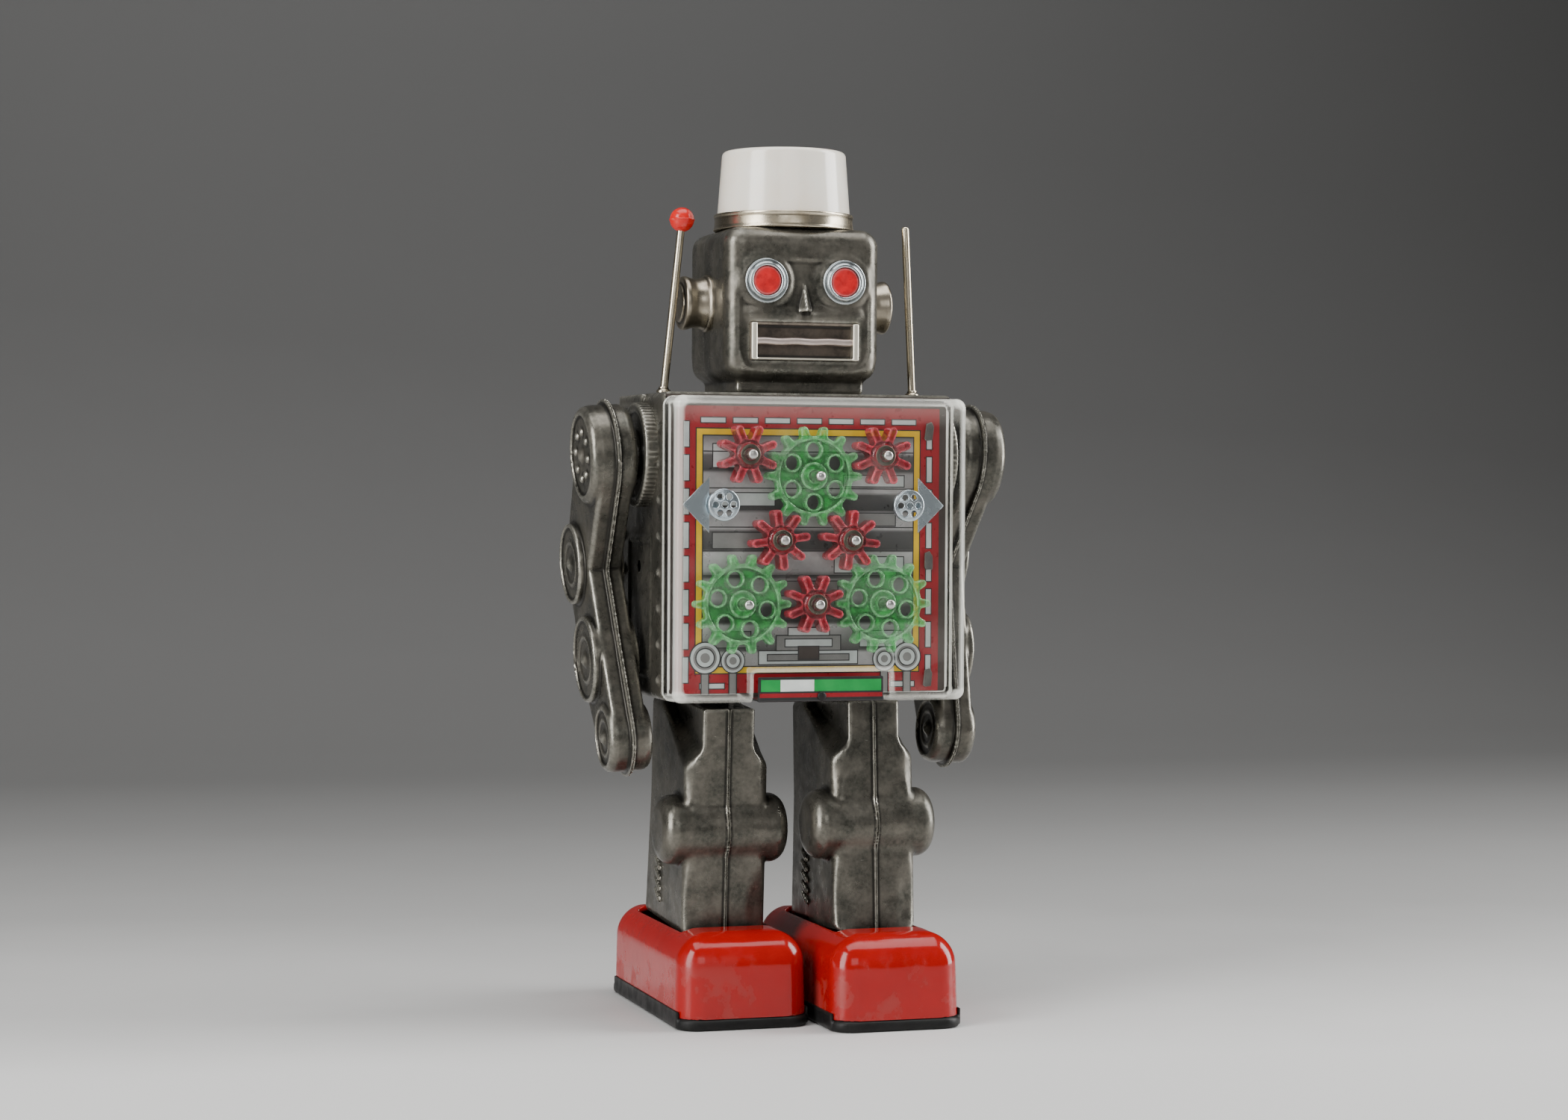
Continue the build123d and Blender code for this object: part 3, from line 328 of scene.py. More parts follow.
class Nodes:
    """Builds one procedural material, with its noise sized in object space."""

    def __init__(self, name):
        self.material = bpy.data.materials.new(name)
        self.material.use_nodes = True
        self.tree = self.material.node_tree
        self.shader = self.tree.nodes["Principled BSDF"]
        self.place = self.tree.nodes.new("ShaderNodeTexCoord").outputs["Object"]

    def link(self, value, socket):
        """Connect an output, or set a constant."""
        if isinstance(value, bpy.types.NodeSocket):
            self.tree.links.new(value, socket)
        elif isinstance(value, (tuple, list)) and len(value) == 3 and socket.type == "RGBA":
            socket.default_value = (*value, 1)
        else:
            socket.default_value = value

    def noise(self, size_mm, detail=3.0, roughness=0.55, stretch=(1, 1, 1)):
        """Noise from 0 to 1 whose features are about the given size."""
        mapping = self.tree.nodes.new("ShaderNodeMapping")
        self.link(self.place, mapping.inputs["Vector"])
        mapping.inputs["Scale"].default_value = stretch
        node = self.tree.nodes.new("ShaderNodeTexNoise")
        self.link(mapping.outputs["Vector"], node.inputs["Vector"])
        node.inputs["Scale"].default_value = 1 / (size_mm * MM)
        node.inputs["Detail"].default_value = detail
        node.inputs["Roughness"].default_value = roughness
        return node.outputs["Fac"]

    def attribute(self, name):
        node = self.tree.nodes.new("ShaderNodeAttribute")
        node.attribute_name = name
        return node.outputs["Fac"]

    def axis(self, name):
        node = self.tree.nodes.new("ShaderNodeSeparateXYZ")
        self.link(self.place, node.inputs[0])
        return node.outputs[name]

    def math(self, operation, a, b=0.0):
        node = self.tree.nodes.new("ShaderNodeMath")
        node.operation = operation
        self.link(a, node.inputs[0])
        self.link(b, node.inputs[1])
        return node.outputs[0]

    def times(self, a, b):
        return self.math("MULTIPLY", a, b)

    def plus(self, a, b):
        return self.math("ADD", a, b)

    def between(self, value, low, high, to_low=0.0, to_high=1.0):
        """Map low..high to to_low..to_high, held at both ends."""
        node = self.tree.nodes.new("ShaderNodeMapRange")
        for name, item in (("Value", value), ("From Min", low), ("From Max", high)):
            self.link(item, node.inputs[name])
        node.inputs["To Min"].default_value = to_low
        node.inputs["To Max"].default_value = to_high
        return node.outputs["Result"]

    def mix(self, share, a, b):
        node = self.tree.nodes.new("ShaderNodeMix")
        node.data_type = "RGBA"
        self.link(share, node.inputs["Factor"])
        self.link(a, node.inputs[6])
        self.link(b, node.inputs[7])
        return node.outputs[2]

    def ramp(self, value, stops):
        """Greys given as (value, grey), blending from each to the next."""
        node = self.tree.nodes.new("ShaderNodeValToRGB")
        low, high = stops[0][0], stops[-1][0]
        while len(node.color_ramp.elements) < len(stops):
            node.color_ramp.elements.new(0.5)
        for element, (place, grey) in zip(node.color_ramp.elements, stops):
            element.position = (place - low) / (high - low)
            element.color = (grey, grey * 0.99, grey * 0.97, 1)
        self.link(self.between(value, low, high), node.inputs[0])
        return node.outputs["Color"]

    def bump(self, height, depth_mm, strength=1.0):
        node = self.tree.nodes.new("ShaderNodeBump")
        node.inputs["Distance"].default_value = depth_mm * MM
        node.inputs["Strength"].default_value = strength
        self.link(height, node.inputs["Height"])
        self.link(node.outputs["Normal"], self.shader.inputs["Normal"])

    def finish(self, **values):
        """Set sockets of the shader by name, with underscores for spaces."""
        for name, value in values.items():
            self.link(value, self.shader.inputs[name.replace("_", " ")])
        return self.material


def worn_metal(name, dark, light, bare, metallic, roughness, edge=0.25, shine=0.5):
    """Mottled coated metal, rubbed bare where it bends outwards, with painted shade where it bends in."""
    n = Nodes(name)
    patches = n.between(n.noise(9, 4), 0.38, 0.64)
    speckle = n.between(n.noise(1.3, 5, 0.65), 0.35, 0.7)
    colour = n.mix(patches, dark, light)
    colour = n.mix(n.times(speckle, 0.42), colour, [c * 1.6 for c in light])
    bend = n.attribute("curvature")
    scuff = n.between(n.noise(2.6, 5, 0.7), 0.3, 0.62, 0.35, 1.0)
    rubbed = n.times(n.between(bend, edge * 0.35, edge * 1.6, 0.0, 0.38), scuff)
    scratch = n.between(n.noise(2.2, 6, 0.75, stretch=(0.35, 0.35, 1.6)), 0.665, 0.72)
    rubbed = n.math("MAXIMUM", rubbed, n.times(scratch, 0.35))
    colour = n.mix(rubbed, colour, bare)
    # Painted shade: where the surface bends in, the colour is taken most of the way to near black.
    crease_shade = n.between(bend, -0.05, -edge * 1.1)
    colour = n.mix(n.times(crease_shade, 0.85), colour, (0.012, 0.011, 0.009))
    rough = n.between(n.noise(5, 4), 0.3, 0.7, roughness - 0.08, roughness + 0.14)
    rough = n.math("SUBTRACT", rough, n.times(rubbed, 0.12))
    dents = n.plus(n.noise(7, 2), n.times(n.noise(1.0, 4), 0.12))
    n.bump(dents, 0.35, 0.6)
    return n.finish(Base_Color=colour, Metallic=metallic, Roughness=rough, Specular_IOR_Level=shine)


def enamel(name, colour, pale, haze, roughness, scuff_top_mm=0.0):
    """Gloss paint with hazy rubbed patches and chipped edges."""
    n = Nodes(name)
    tone = n.mix(n.noise(14, 3), colour, [c * 0.72 for c in colour])
    cloud = n.noise(11, 5, 0.62, stretch=(1, 1, 0.8))
    low_down = n.between(n.axis("Z"), scuff_top_mm * MM, scuff_top_mm * MM * 0.55)
    hazy = n.times(n.between(cloud, 0.52, 0.60), n.math("MAXIMUM", low_down, 0.06))
    tone = n.mix(n.times(hazy, haze), tone, pale)
    chips = n.between(n.noise(3, 5, 0.7), 0.5, 0.66, 0.0, 0.9)
    rubbed = n.times(n.between(n.attribute("curvature"), 0.14, 0.4), chips)
    tone = n.mix(n.times(rubbed, 0.4), tone, pale)
    specks = n.between(n.noise(1.1, 4, 0.7), 0.70, 0.74)
    tone = n.mix(n.times(specks, 0.8), tone, (0.03, 0.02, 0.02))
    rough = n.between(hazy, 0.0, 1.0, roughness, roughness + 0.3)
    rough = n.plus(rough, n.between(n.noise(4, 3), 0.4, 0.7, 0.0, 0.08))
    n.bump(n.plus(n.noise(12, 2), n.times(n.noise(1.2, 4), 0.08)), 0.3, 0.5)
    return n.finish(
        Base_Color=tone,
        Roughness=rough,
        Specular_IOR_Level=0.36,
        Coat_Weight=0.15,
        Coat_Roughness=0.06,
    )


def bright_metal(name, colour, tarnish, amount, roughness):
    """Plated metal with cloudy tarnish, fine scratches and painted shade where it bends in."""
    n = Nodes(name)
    cloud = n.between(n.noise(8, 4, 0.55), 0.62 - amount * 0.3, 0.92 - amount * 0.3)
    tone = n.mix(cloud, colour, tarnish)
    specks = n.between(n.noise(0.9, 4, 0.7), 0.66, 0.74, 0.0, 0.5)
    tone = n.mix(specks, tone, [c * 0.5 for c in tarnish])
    # Painted shade: where the surface bends in, the colour is taken towards a very dark tarnish.
    crease_shade = n.between(n.attribute("curvature"), -0.03, -0.35)
    tone = n.mix(n.times(crease_shade, 0.8), tone, [c * 0.15 for c in tarnish])
    scratches = n.noise(0.7, 4, 0.7, stretch=(1, 1, 0.12))
    rough = n.between(cloud, 0, 1, roughness, roughness + 0.18)
    n.bump(n.plus(scratches, n.noise(6, 2)), 0.025, 0.5)
    return n.finish(Base_Color=tone, Metallic=1.0, Roughness=rough)


def tinted_plastic(name, colour, deep, pale, opacity, roughness):
    """See-through moulded plastic, denser where it is seen edge-on, with painted highlights where it bends
    outwards and painted shade where it bends in.
    """
    n = Nodes(name)
    tone = n.mix(n.between(n.noise(3.5, 4), 0.35, 0.65), colour, deep)
    facing = n.tree.nodes.new("ShaderNodeLayerWeight")
    facing.inputs["Blend"].default_value = 0.35
    clearness = n.between(facing.outputs["Facing"], 0.15, 0.9, opacity, min(1.0, opacity + 0.35))
    streak = n.between(n.noise(2.2, 3), 0.4, 0.6, -0.16, 0.16)
    clearness = n.plus(clearness, streak)
    # Painted highlight: outward bends such as tooth tips and hole rims are taken towards the pale colour.
    bend = n.between(n.attribute("curvature"), 0.10, 0.65)
    tone = n.mix(n.times(bend, 0.55), tone, pale)
    # Painted shade: inward bends are taken towards a darker deep colour.
    inner = n.between(n.attribute("curvature"), -0.10, -0.6)
    tone = n.mix(n.times(inner, 0.7), tone, [c * 0.25 for c in deep])
    n.bump(n.plus(n.noise(2.5, 3), n.times(n.noise(0.6, 3), 0.2)), 0.08, 0.6)
    return n.finish(
        Base_Color=tone,
        Alpha=clearness,
        Roughness=n.between(n.noise(2, 3), 0.3, 0.7, roughness, roughness + 0.1),
    )


def clear_plastic(name):
    """Clear yellowed styrene: almost nothing face-on, milky at grazing angles, with painted highlights as
    opaque white at its bends, strongest on the side corners, and a faint painted reflection band along the
    top.
    """
    n = Nodes(name)
    facing = n.tree.nodes.new("ShaderNodeLayerWeight")
    facing.inputs["Blend"].default_value = 0.45
    rim = n.between(facing.outputs["Facing"], 0.80, 0.99, 0.0, 0.35)
    # The painted highlights at the bends are at full strength on the left and right corners, which face the
    # side lights.
    across = n.math("ABSOLUTE", n.axis("X"))
    strength = n.between(across, 0.040, 0.046, 0.35, 1.0)
    # Painted highlight: bends are made more opaque and near white.
    bend = n.times(n.between(n.attribute("curvature"), 0.08, 0.20, 0.0, 0.62), strength)
    smear_and_reflection = n.between(n.noise(16, 5, 0.6), 0.54, 0.76, 0.0, 0.03)
    # Painted reflection: a faint whiter band along the upper part of the cover, added to the real smears.
    top_reflection = n.between(n.axis("Z"), 0.1965, 0.2015, 0.0, 0.05)
    smear_and_reflection = n.plus(smear_and_reflection, top_reflection)
    cover = n.plus(n.math("MAXIMUM", rim, bend), n.plus(smear_and_reflection, 0.004))
    scratch = n.between(n.noise(2.5, 6, 0.8, stretch=(0.2, 1, 1.4)), 0.68, 0.74, 0.0, 0.06)
    tone = n.mix(n.noise(20, 2), (0.93, 0.93, 0.88), (0.86, 0.86, 0.76))
    n.bump(n.noise(18, 3), 0.25, 0.4)
    return n.finish(
        Base_Color=tone,
        Alpha=n.plus(cover, scratch),
        Roughness=n.between(n.noise(6, 3), 0.3, 0.7, 0.05, 0.14),
    )


def print_ink(name, colour, metallic=0.0, roughness=0.3):
    """Ink on tin, very slightly uneven, with fine scratches to the metal."""
    n = Nodes(name)
    tone = n.mix(n.between(n.noise(7, 4), 0.35, 0.7), colour, [c * 0.78 for c in colour])
    flecks = n.between(n.noise(1.0, 5, 0.75, stretch=(0.5, 1, 1)), 0.68, 0.74)
    tone = n.mix(n.times(flecks, 0.5), tone, (0.5, 0.5, 0.48))
    n.bump(n.noise(6, 3), 0.1, 0.5)
    rough = n.between(n.noise(3, 3), 0.3, 0.7, roughness, roughness + 0.12)
    return n.finish(Base_Color=tone, Metallic=metallic, Roughness=rough)


def banded_ink(name, bands):
    """Printed horizontal bands of grey, given as (height in mm, grey), blending upwards."""
    n = Nodes(name)
    tone = n.ramp(n.axis("Z"), [(height * MM, grey) for height, grey in bands])
    dirt = n.between(n.noise(6, 5, 0.65), 0.45, 0.8, 0.0, 0.35)
    tone = n.mix(dirt, tone, (0.09, 0.085, 0.075))
    n.bump(n.noise(6, 3), 0.1, 0.5)
    return n.finish(Base_Color=tone, Metallic=0.35, Roughness=n.between(n.noise(3, 3), 0.3, 0.7, 0.25, 0.4))


def matt(name, colour, roughness=0.7):
    """Dull rubber, a little paler in patches."""
    n = Nodes(name)
    tone = n.mix(n.between(n.noise(3, 4), 0.3, 0.7), colour, [c * 1.8 + 0.01 for c in colour])
    n.bump(n.noise(0.8, 4, 0.6), 0.08, 0.6)
    rough = n.between(n.noise(2, 3), 0.3, 0.7, roughness, roughness + 0.15)
    return n.finish(Base_Color=tone, Roughness=rough)


def cap_plastic(name):
    """Warm white moulded plastic that lets a little light in."""
    n = Nodes(name)
    tone = n.mix(n.between(n.noise(25, 3), 0.3, 0.7), (0.84, 0.81, 0.73), (0.80, 0.72, 0.61))
    specks = n.between(n.noise(1.2, 3), 0.72, 0.76)
    tone = n.mix(n.times(specks, 0.4), tone, (0.45, 0.38, 0.3))
    n.bump(n.plus(n.noise(10, 2), n.times(n.noise(0.8, 3), 0.05)), 0.12, 0.5)
    return n.finish(
        Base_Color=tone,
        Roughness=n.between(n.noise(8, 3), 0.3, 0.7, 0.16, 0.24),
        Coat_Weight=0.5,
        Coat_Roughness=0.06,
        Subsurface_Weight=0.25,
        Subsurface_Radius=(2 * MM, 1.4 * MM, 1.0 * MM),
    )


GREY_TIN = worn_metal(
    "grey_tin", (0.043, 0.043, 0.035), (0.112, 0.103, 0.085), (0.60, 0.58, 0.50),
    metallic=0.75, roughness=0.29)
DARK_TIN = worn_metal(
    "dark_tin", (0.020, 0.020, 0.018), (0.050, 0.046, 0.040), (0.30, 0.29, 0.26),
    metallic=0.6, roughness=0.42)
BLACK_TIN = worn_metal(
    "black_tin", (0.004, 0.004, 0.004), (0.008, 0.008, 0.008), (0.025, 0.025, 0.022),
    metallic=0.0, roughness=0.42, shine=0.18)
MOUTH_TIN = worn_metal(
    "mouth_tin", (0.030, 0.022, 0.017), (0.085, 0.066, 0.050), (0.36, 0.31, 0.25),
    metallic=0.3, roughness=0.40)
RED_TIN = enamel("red_tin", (0.35, 0.0015, 0.0015), (0.27, 0.040, 0.034), 0.5, 0.12, scuff_top_mm=27)
BALL_PAINT = enamel("ball_paint", (0.66, 0.010, 0.008), (0.70, 0.26, 0.20), 0.3, 0.2, scuff_top_mm=250)
NICKEL = bright_metal("nickel", (0.62, 0.55, 0.42), (0.33, 0.27, 0.18), 0.5, 0.22)
AGED_NICKEL = bright_metal("aged_nickel", (0.40, 0.355, 0.28), (0.19, 0.165, 0.125), 0.6, 0.27)
BRIGHT_TIN = bright_metal("bright_tin", (0.50, 0.57, 0.61), (0.24, 0.29, 0.32), 0.45, 0.24)
STEEL = bright_metal("steel", (0.58, 0.57, 0.55), (0.25, 0.23, 0.20), 0.4, 0.26)
BRASS = bright_metal("brass", (0.78, 0.58, 0.25), (0.36, 0.25, 0.12), 0.4, 0.28)
RING_METAL = bright_metal("ring_metal", (0.52, 0.57, 0.58), (0.24, 0.27, 0.27), 0.5, 0.22)
LIP_METAL = bright_metal("lip_metal", (0.58, 0.49, 0.45), (0.36, 0.29, 0.26), 0.4, 0.36)
CREAM_METAL = bright_metal("cream_metal", (0.84, 0.80, 0.68), (0.60, 0.54, 0.42), 0.3, 0.40)
GREEN_PLASTIC = tinted_plastic(
    "green_plastic", (0.045, 0.46, 0.085), (0.015, 0.22, 0.035), (0.42, 0.90, 0.46), 0.36, 0.06)
RED_PLASTIC = tinted_plastic(
    "red_plastic", (0.30, 0.002, 0.012), (0.13, 0.001, 0.006), (0.75, 0.10, 0.14), 0.55, 0.06)
LENS_PLASTIC = tinted_plastic(
    "lens_plastic", (0.58, 0.004, 0.008), (0.38, 0.003, 0.005), (0.75, 0.20, 0.20), 1.0, 0.30)
CLEAR_PLASTIC = clear_plastic("clear_plastic")
WHITE_PLASTIC = cap_plastic("white_plastic")
RUBBER = matt("rubber", (0.02, 0.02, 0.02))
INK_RED = print_ink("ink_red", (0.30, 0.010, 0.016), 0.25, 0.25)
INK_SHADE = print_ink("ink_shade", (0.055, 0.042, 0.036), 0.3)
INK_BLACK = print_ink("ink_black", (0.015, 0.015, 0.015))
INK_YELLOW = print_ink("ink_yellow", (0.64, 0.40, 0.006), 0.1)
INK_PALE = print_ink("ink_pale", (0.50, 0.54, 0.52), 0.3)
INK_GREY = print_ink("ink_grey", (0.20, 0.20, 0.19), 0.3)
INK_GREEN = print_ink("ink_green", (0.01, 0.30, 0.06), 0.1, 0.15)
INK_WHITE = print_ink("ink_white", (0.72, 0.76, 0.72), 0.1, 0.15)


# ---------------------------------------------------------------- places from the frame

TORSO_LOW, TORSO_HIGH = corners("torso_shell")
TORSO_MIDDLE_Z, TORSO_HALF_H = (TORSO_LOW[2] + TORSO_HIGH[2]) / 2, (TORSO_HIGH[2] - TORSO_LOW[2]) / 2
HALF_W = TORSO_HIGH[0]
COVER_LOW, COVER_HIGH = corners("chest_window")
HEAD_LOW, HEAD_HIGH = corners("head_shell")
PLATE_FRONT = corners("chest_plate")[0][1]
# How far the mouth's frame stands out of the face.
MOUTH_PROUD = 0.9
HEAD_FRONT = corners("mouth_frame")[0][1] + MOUTH_PROUD


# ---------------------------------------------------------------- torso

RIVETS, RIVET_PITCH, RIVET_R = 8, 11.8, 2.0
# The slots for a leg's two straps lie this far to either side of the leg's middle.
STRAP_OFFSET, SLOT_HALF_W = 6.0, 1.4


def torso_shell():
    """Folded tin box: two rows of rivets, a lip and a pressed frame on each side, slots for the straps."""
    wall = 1.7
    lip_low = (HALF_W - 2, -4, TORSO_HIGH[2] - 4.2)
    lip_high = (HALF_W + 1.3, TORSO_HIGH[1], TORSO_HIGH[2] - 0.3)
    frame_low, frame_high, frame_line = (-14, 114), (15, 160), 1.6
    slot_low, slot_high = (-7, TORSO_LOW[2] - 2), (11, TORSO_LOW[2] + 3)

    def field(x, y, z):
        across = np.abs(x)
        section = rectangle(across, z - TORSO_MIDDLE_Z, HALF_W, TORSO_HALF_H, 2.4)
        hollow = rectangle(across, z - TORSO_MIDDLE_Z, HALF_W - wall, TORSO_HALF_H - wall, 1.0)
        shape = cut(round_meet(slab(y, TORSO_LOW[1], TORSO_HIGH[1]), section, 0.3), hollow, 0.3)
        shape = join(shape, box(across, y, z, lip_low, lip_high, 0.6), 0.5)
        for row in (TORSO_LOW[1] + 3.4, TORSO_HIGH[1] - 4.0):
            for step in range(RIVETS):
                height = TORSO_LOW[2] + 6.5 + RIVET_PITCH * step
                offset = np.sqrt((across - HALF_W + 0.8) ** 2 + (y - row) ** 2 + (z - height) ** 2)
                shape = join(shape, offset - RIVET_R, 0.7)
        pressed = box(across, y, z, (HALF_W - 1, *frame_low), (HALF_W + 0.6, *frame_high), 0.6)
        inside_low = (HALF_W - 2, *(v + frame_line for v in frame_low))
        inside_high = (HALF_W + 2, *(v - frame_line for v in frame_high))
        shape = join(shape, cut(pressed, box(across, y, z, inside_low, inside_high, 1.0), 0.4), 0.8)
        for slot_x in (LEG_X - STRAP_OFFSET, LEG_X + STRAP_OFFSET):
            left, right = slot_x - SLOT_HALF_W, slot_x + SLOT_HALF_W
            shape = cut(shape, box(across, y, z, (left, *slot_low), (right, *slot_high), 0.3), 0.2)
        return shape

    past_sides = (2, 0, 0)
    shape = surface(field, TORSO_LOW - past_sides, TORSO_HIGH + past_sides, 0.8)
    stand_in("torso_shell", shape, GREY_TIN, "torso", "grey_tin")


def torso_back():
    """Back panel with a pressed frame, a boss round the key and two groups of louvres on each side."""
    low, high = corners("torso_back")
    key_z = middle("winding_key")[2]
    inset, louvre_x, pitch = 6, (22, 36), 6.5
    louvre_heights = [120 + row * pitch for row in range(3)] + [168 + row * pitch for row in range(2)]
    bead_y = high[1] - 0.4

    def field(x, y, z):
        across = np.abs(x)
        shape = box(x, y, z, low, high, 0.3)
        half_h = (high[2] - low[2]) / 2 - inset
        frame_line = np.abs(rectangle(across, z - (low[2] + high[2]) / 2, high[0] - inset, half_h, 6))
        shape = join(shape, np.hypot(frame_line, y - bead_y) - 1.2, 0.8)
        radius = np.hypot(x, z - key_z)
        shape = join(shape, round_meet(radius - 10, slab(y, high[1] - 0.5, high[1] + 0.9), 0.6), 1.2)
        shape = join(shape, np.hypot(radius - 13.5, y - high[1] + 0.3) - 0.8, 0.6)
        for height in louvre_heights:
            start, end = ((reach, bead_y, height) for reach in louvre_x)
            shape = join(shape, capsule(across, y, z, start, end, 1.5), 0.8)
        return np.maximum(cut(shape, radius - 3.4, 0.3), low[1] - y)

    shape = surface(field, low, high + (0, 2, 0), 0.6)
    stand_in("torso_back", shape, GREY_TIN, "torso", "grey_tin")


# How far each layer of print stands in front of the one behind it.
LAYER = 0.04


def flat_shapes(name, layers, front, slot):
    """Print in front of a plane that faces -Y, from (outline, how many layers forward, material)."""
    verts, faces, materials = [], [], []
    for outline, step, material in layers:
        faces.append(tuple(range(len(verts), len(verts) + len(outline))))
        verts += [(x, front - LAYER * step, z) for x, z in outline]
        if material not in materials:
            materials.append(material)
    thing = piece(name, (np.array(verts), faces), materials, "torso", slot=slot, crease=0)
    for face, (_, _, material) in zip(thing.data.polygons, layers):
        face.material_index = materials.index(material)
    return thing


def bar(x0, x1, z0, z1):
    return [(x0, z0), (x1, z0), (x1, z1), (x0, z1)]


def outlined(x0, x1, z0, z1, material, step=2, rim=0.35):
    """A printed bar, and its black outline one layer behind it."""
    edge = bar(x0 - rim, x1 + rim, z0 - rim, z1 + rim)
    return [(edge, step - 1, INK_BLACK), (bar(x0, x1, z0, z1), step, material)]


def border_print():
    """Red border with a row of pale dashes at the top and sides, and one dash in each lower corner."""
    dash, pitch, thick = 8.2, 11.0, 1.5
    low_row, high_row, side_row = 110.6, 197.6, (41.2, 42.9)
    layers = [(bar(-45.6, 45.6, 109.0, 203.0), 0.5, INK_RED)]
    for step in range(-3, 4):
        x0, x1 = step * pitch - dash / 2, step * pitch + dash / 2
        layers += outlined(x0, x1, high_row, high_row + thick, INK_PALE)
        if abs(step) > 2:
            layers += outlined(x0, x1, low_row, low_row + thick, INK_PALE)
    for side in SIDES.values():
        x0, x1 = sorted(side * reach for reach in side_row)
        for step in range(8):
            z0 = 112.6 + step * pitch
            layers += outlined(x0, x1, z0, z0 + dash, INK_PALE)
    return layers


def frame_print(machinery):
    """Yellow frame with a black line on each side of it, round the field of shaded bands."""
    half_w, low, high, line, rim = 38.6, 115.6, 195.5, 1.9, 0.4
    nested = [(-rim, INK_BLACK), (0.0, INK_YELLOW), (line, INK_BLACK), (line + rim, machinery)]
    layers = []
    for step, (inset, ink) in enumerate(nested, 1):
        layers.append((bar(inset - half_w, half_w - inset, low + inset, high - inset), step, ink))
    return layers


def machinery_print():
    """Blocks, thin lines, a stepped box low in the middle and four dials on posts."""
    blocks = [
        (183, 190.5, -33, -20), (156.5, 161.5, -33, -14), (148.5, 153.5, 9, 33), (164, 168, 14, 30),
        (170.5, 174.5, -30, -12), (141, 145.5, -10, 10), (177, 180.5, 12, 33), (124, 129, -33, -20),
        (124, 129, 18, 33),
    ]
    line_heights, line_half, line = (188, 176, 163.2, 155.4, 147.3, 132.5), 36.3, 0.35
    steps = [
        (118.4, 122.6, 17, INK_PALE), (119.6, 121.4, 14, INK_GREY), (122.9, 127.6, 11, INK_GREY),
        (124.2, 126.4, 8, INK_PALE), (120.0, 124.0, 3.4, INK_SHADE), (127.9, 130.2, 7, INK_PALE),
    ]
    dials = [(-35.5, 5.4, 120.6), (-26, 4.2, 119.6), (26.5, 4.2, 119.8), (34.5, 5.0, 120.4)]
    rings = [
        (1.0, INK_BLACK), (0.92, INK_PALE), (0.74, INK_GREY), (0.62, INK_BLACK), (0.54, INK_PALE),
        (0.30, INK_GREY),
    ]
    layers = []
    for k, (z0, z1, x0, x1) in enumerate(blocks):
        layers += outlined(x0, x1, z0, z1, INK_GREY if k % 2 else INK_PALE, 6)
    for z in line_heights:
        layers.append((bar(-line_half, line_half, z, z + line), 7, INK_BLACK))
    for k, (z0, z1, half, tone) in enumerate(steps):
        layers += outlined(-half, half, z0, z1, tone, 7 + 2 * k)
    for x, radius, z in dials:
        layers += outlined(x - 1.1, x + 1.1, 108.6, z - radius, INK_GREY, 9)
        for k, (share, tone) in enumerate(rings):
            layers.append((circle(x, z, radius * share, 32), 10 + k, tone))
    return layers


def chest_print():
    """The plate behind the gears, and its print as thin layers in front of it."""
    bands = [
        (115, 0.06), (117, 0.30), (122, 0.36), (123, 0.06), (126, 0.16), (131, 0.40), (132, 0.04),
        (137, 0.08), (140, 0.36), (146, 0.26), (147, 0.04), (149, 0.30), (155, 0.42), (156, 0.05),
        (162, 0.08), (163, 0.40), (168, 0.30), (169, 0.04), (174, 0.07), (175, 0.38), (181, 0.30),
        (182, 0.04), (187, 0.10), (188, 0.40), (192, 0.20), (195, 0.04),
    ]
    plate_shape = box_mesh(*corners("chest_plate"))
    stand_in("chest_plate", plate_shape, INK_SHADE, "torso", "printed_tin", crease=30)
    machinery = banded_ink("ink_machinery", bands)
    layers = border_print() + frame_print(machinery) + machinery_print()
    flat_shapes("chest_print", layers, PLATE_FRONT, "printed_tin")


def box_mesh(low, high):
    verts = [(x, y, z) for x in (low[0], high[0]) for y in (low[1], high[1]) for z in (low[2], high[2])]
    faces = [(0, 1, 3, 2), (4, 6, 7, 5), (0, 4, 5, 1), (2, 3, 7, 6), (0, 2, 6, 4), (1, 5, 7, 3)]
    return np.array(verts), faces


def chest_window():
    """Clear moulded cover with soft thick edges and a framed notch for the clip."""
    low, high = COVER_LOW, COVER_HIGH
    wall, notch_x, notch_z = 1.5, 23.5, 116.5

    def field(x, y, z):
        outer = box(x, y, z, low, high + (0, 8, 0), 3.2)
        inner = box(x, y, z, low + wall, high - wall + (0, 12, 0), 2.0)
        shape = cut(outer, inner, 0.3)
        lip = rectangle(x, z - (low[2] + high[2]) / 2, high[0], (high[2] - low[2]) / 2, 3.2)
        shape = join(shape, round_meet(np.abs(lip + 1.1) - 1.1, slab(y, high[1] - 2.2, high[1]), 0.4), 0.5)
        rim_low, rim_high = (-notch_x - 2, low[1], low[2] - 8), (notch_x + 2, low[1] + 2.6, notch_z + 2)
        shape = np.where(z > low[2] + 3, join(shape, box(x, y, z, rim_low, rim_high, 1.2), 0.6), shape)
        notch = box(x, y, z, (-notch_x, low[1] - 5, low[2] - 8), (notch_x, high[1] + 5, notch_z), 1.0)
        return np.maximum(cut(shape, notch, 0.3), y - high[1])

    shape = surface(field, low, high, 0.6)
    stand_in("chest_window", shape, CLEAR_PLASTIC, "torso", "clear_plastic", crease=0)


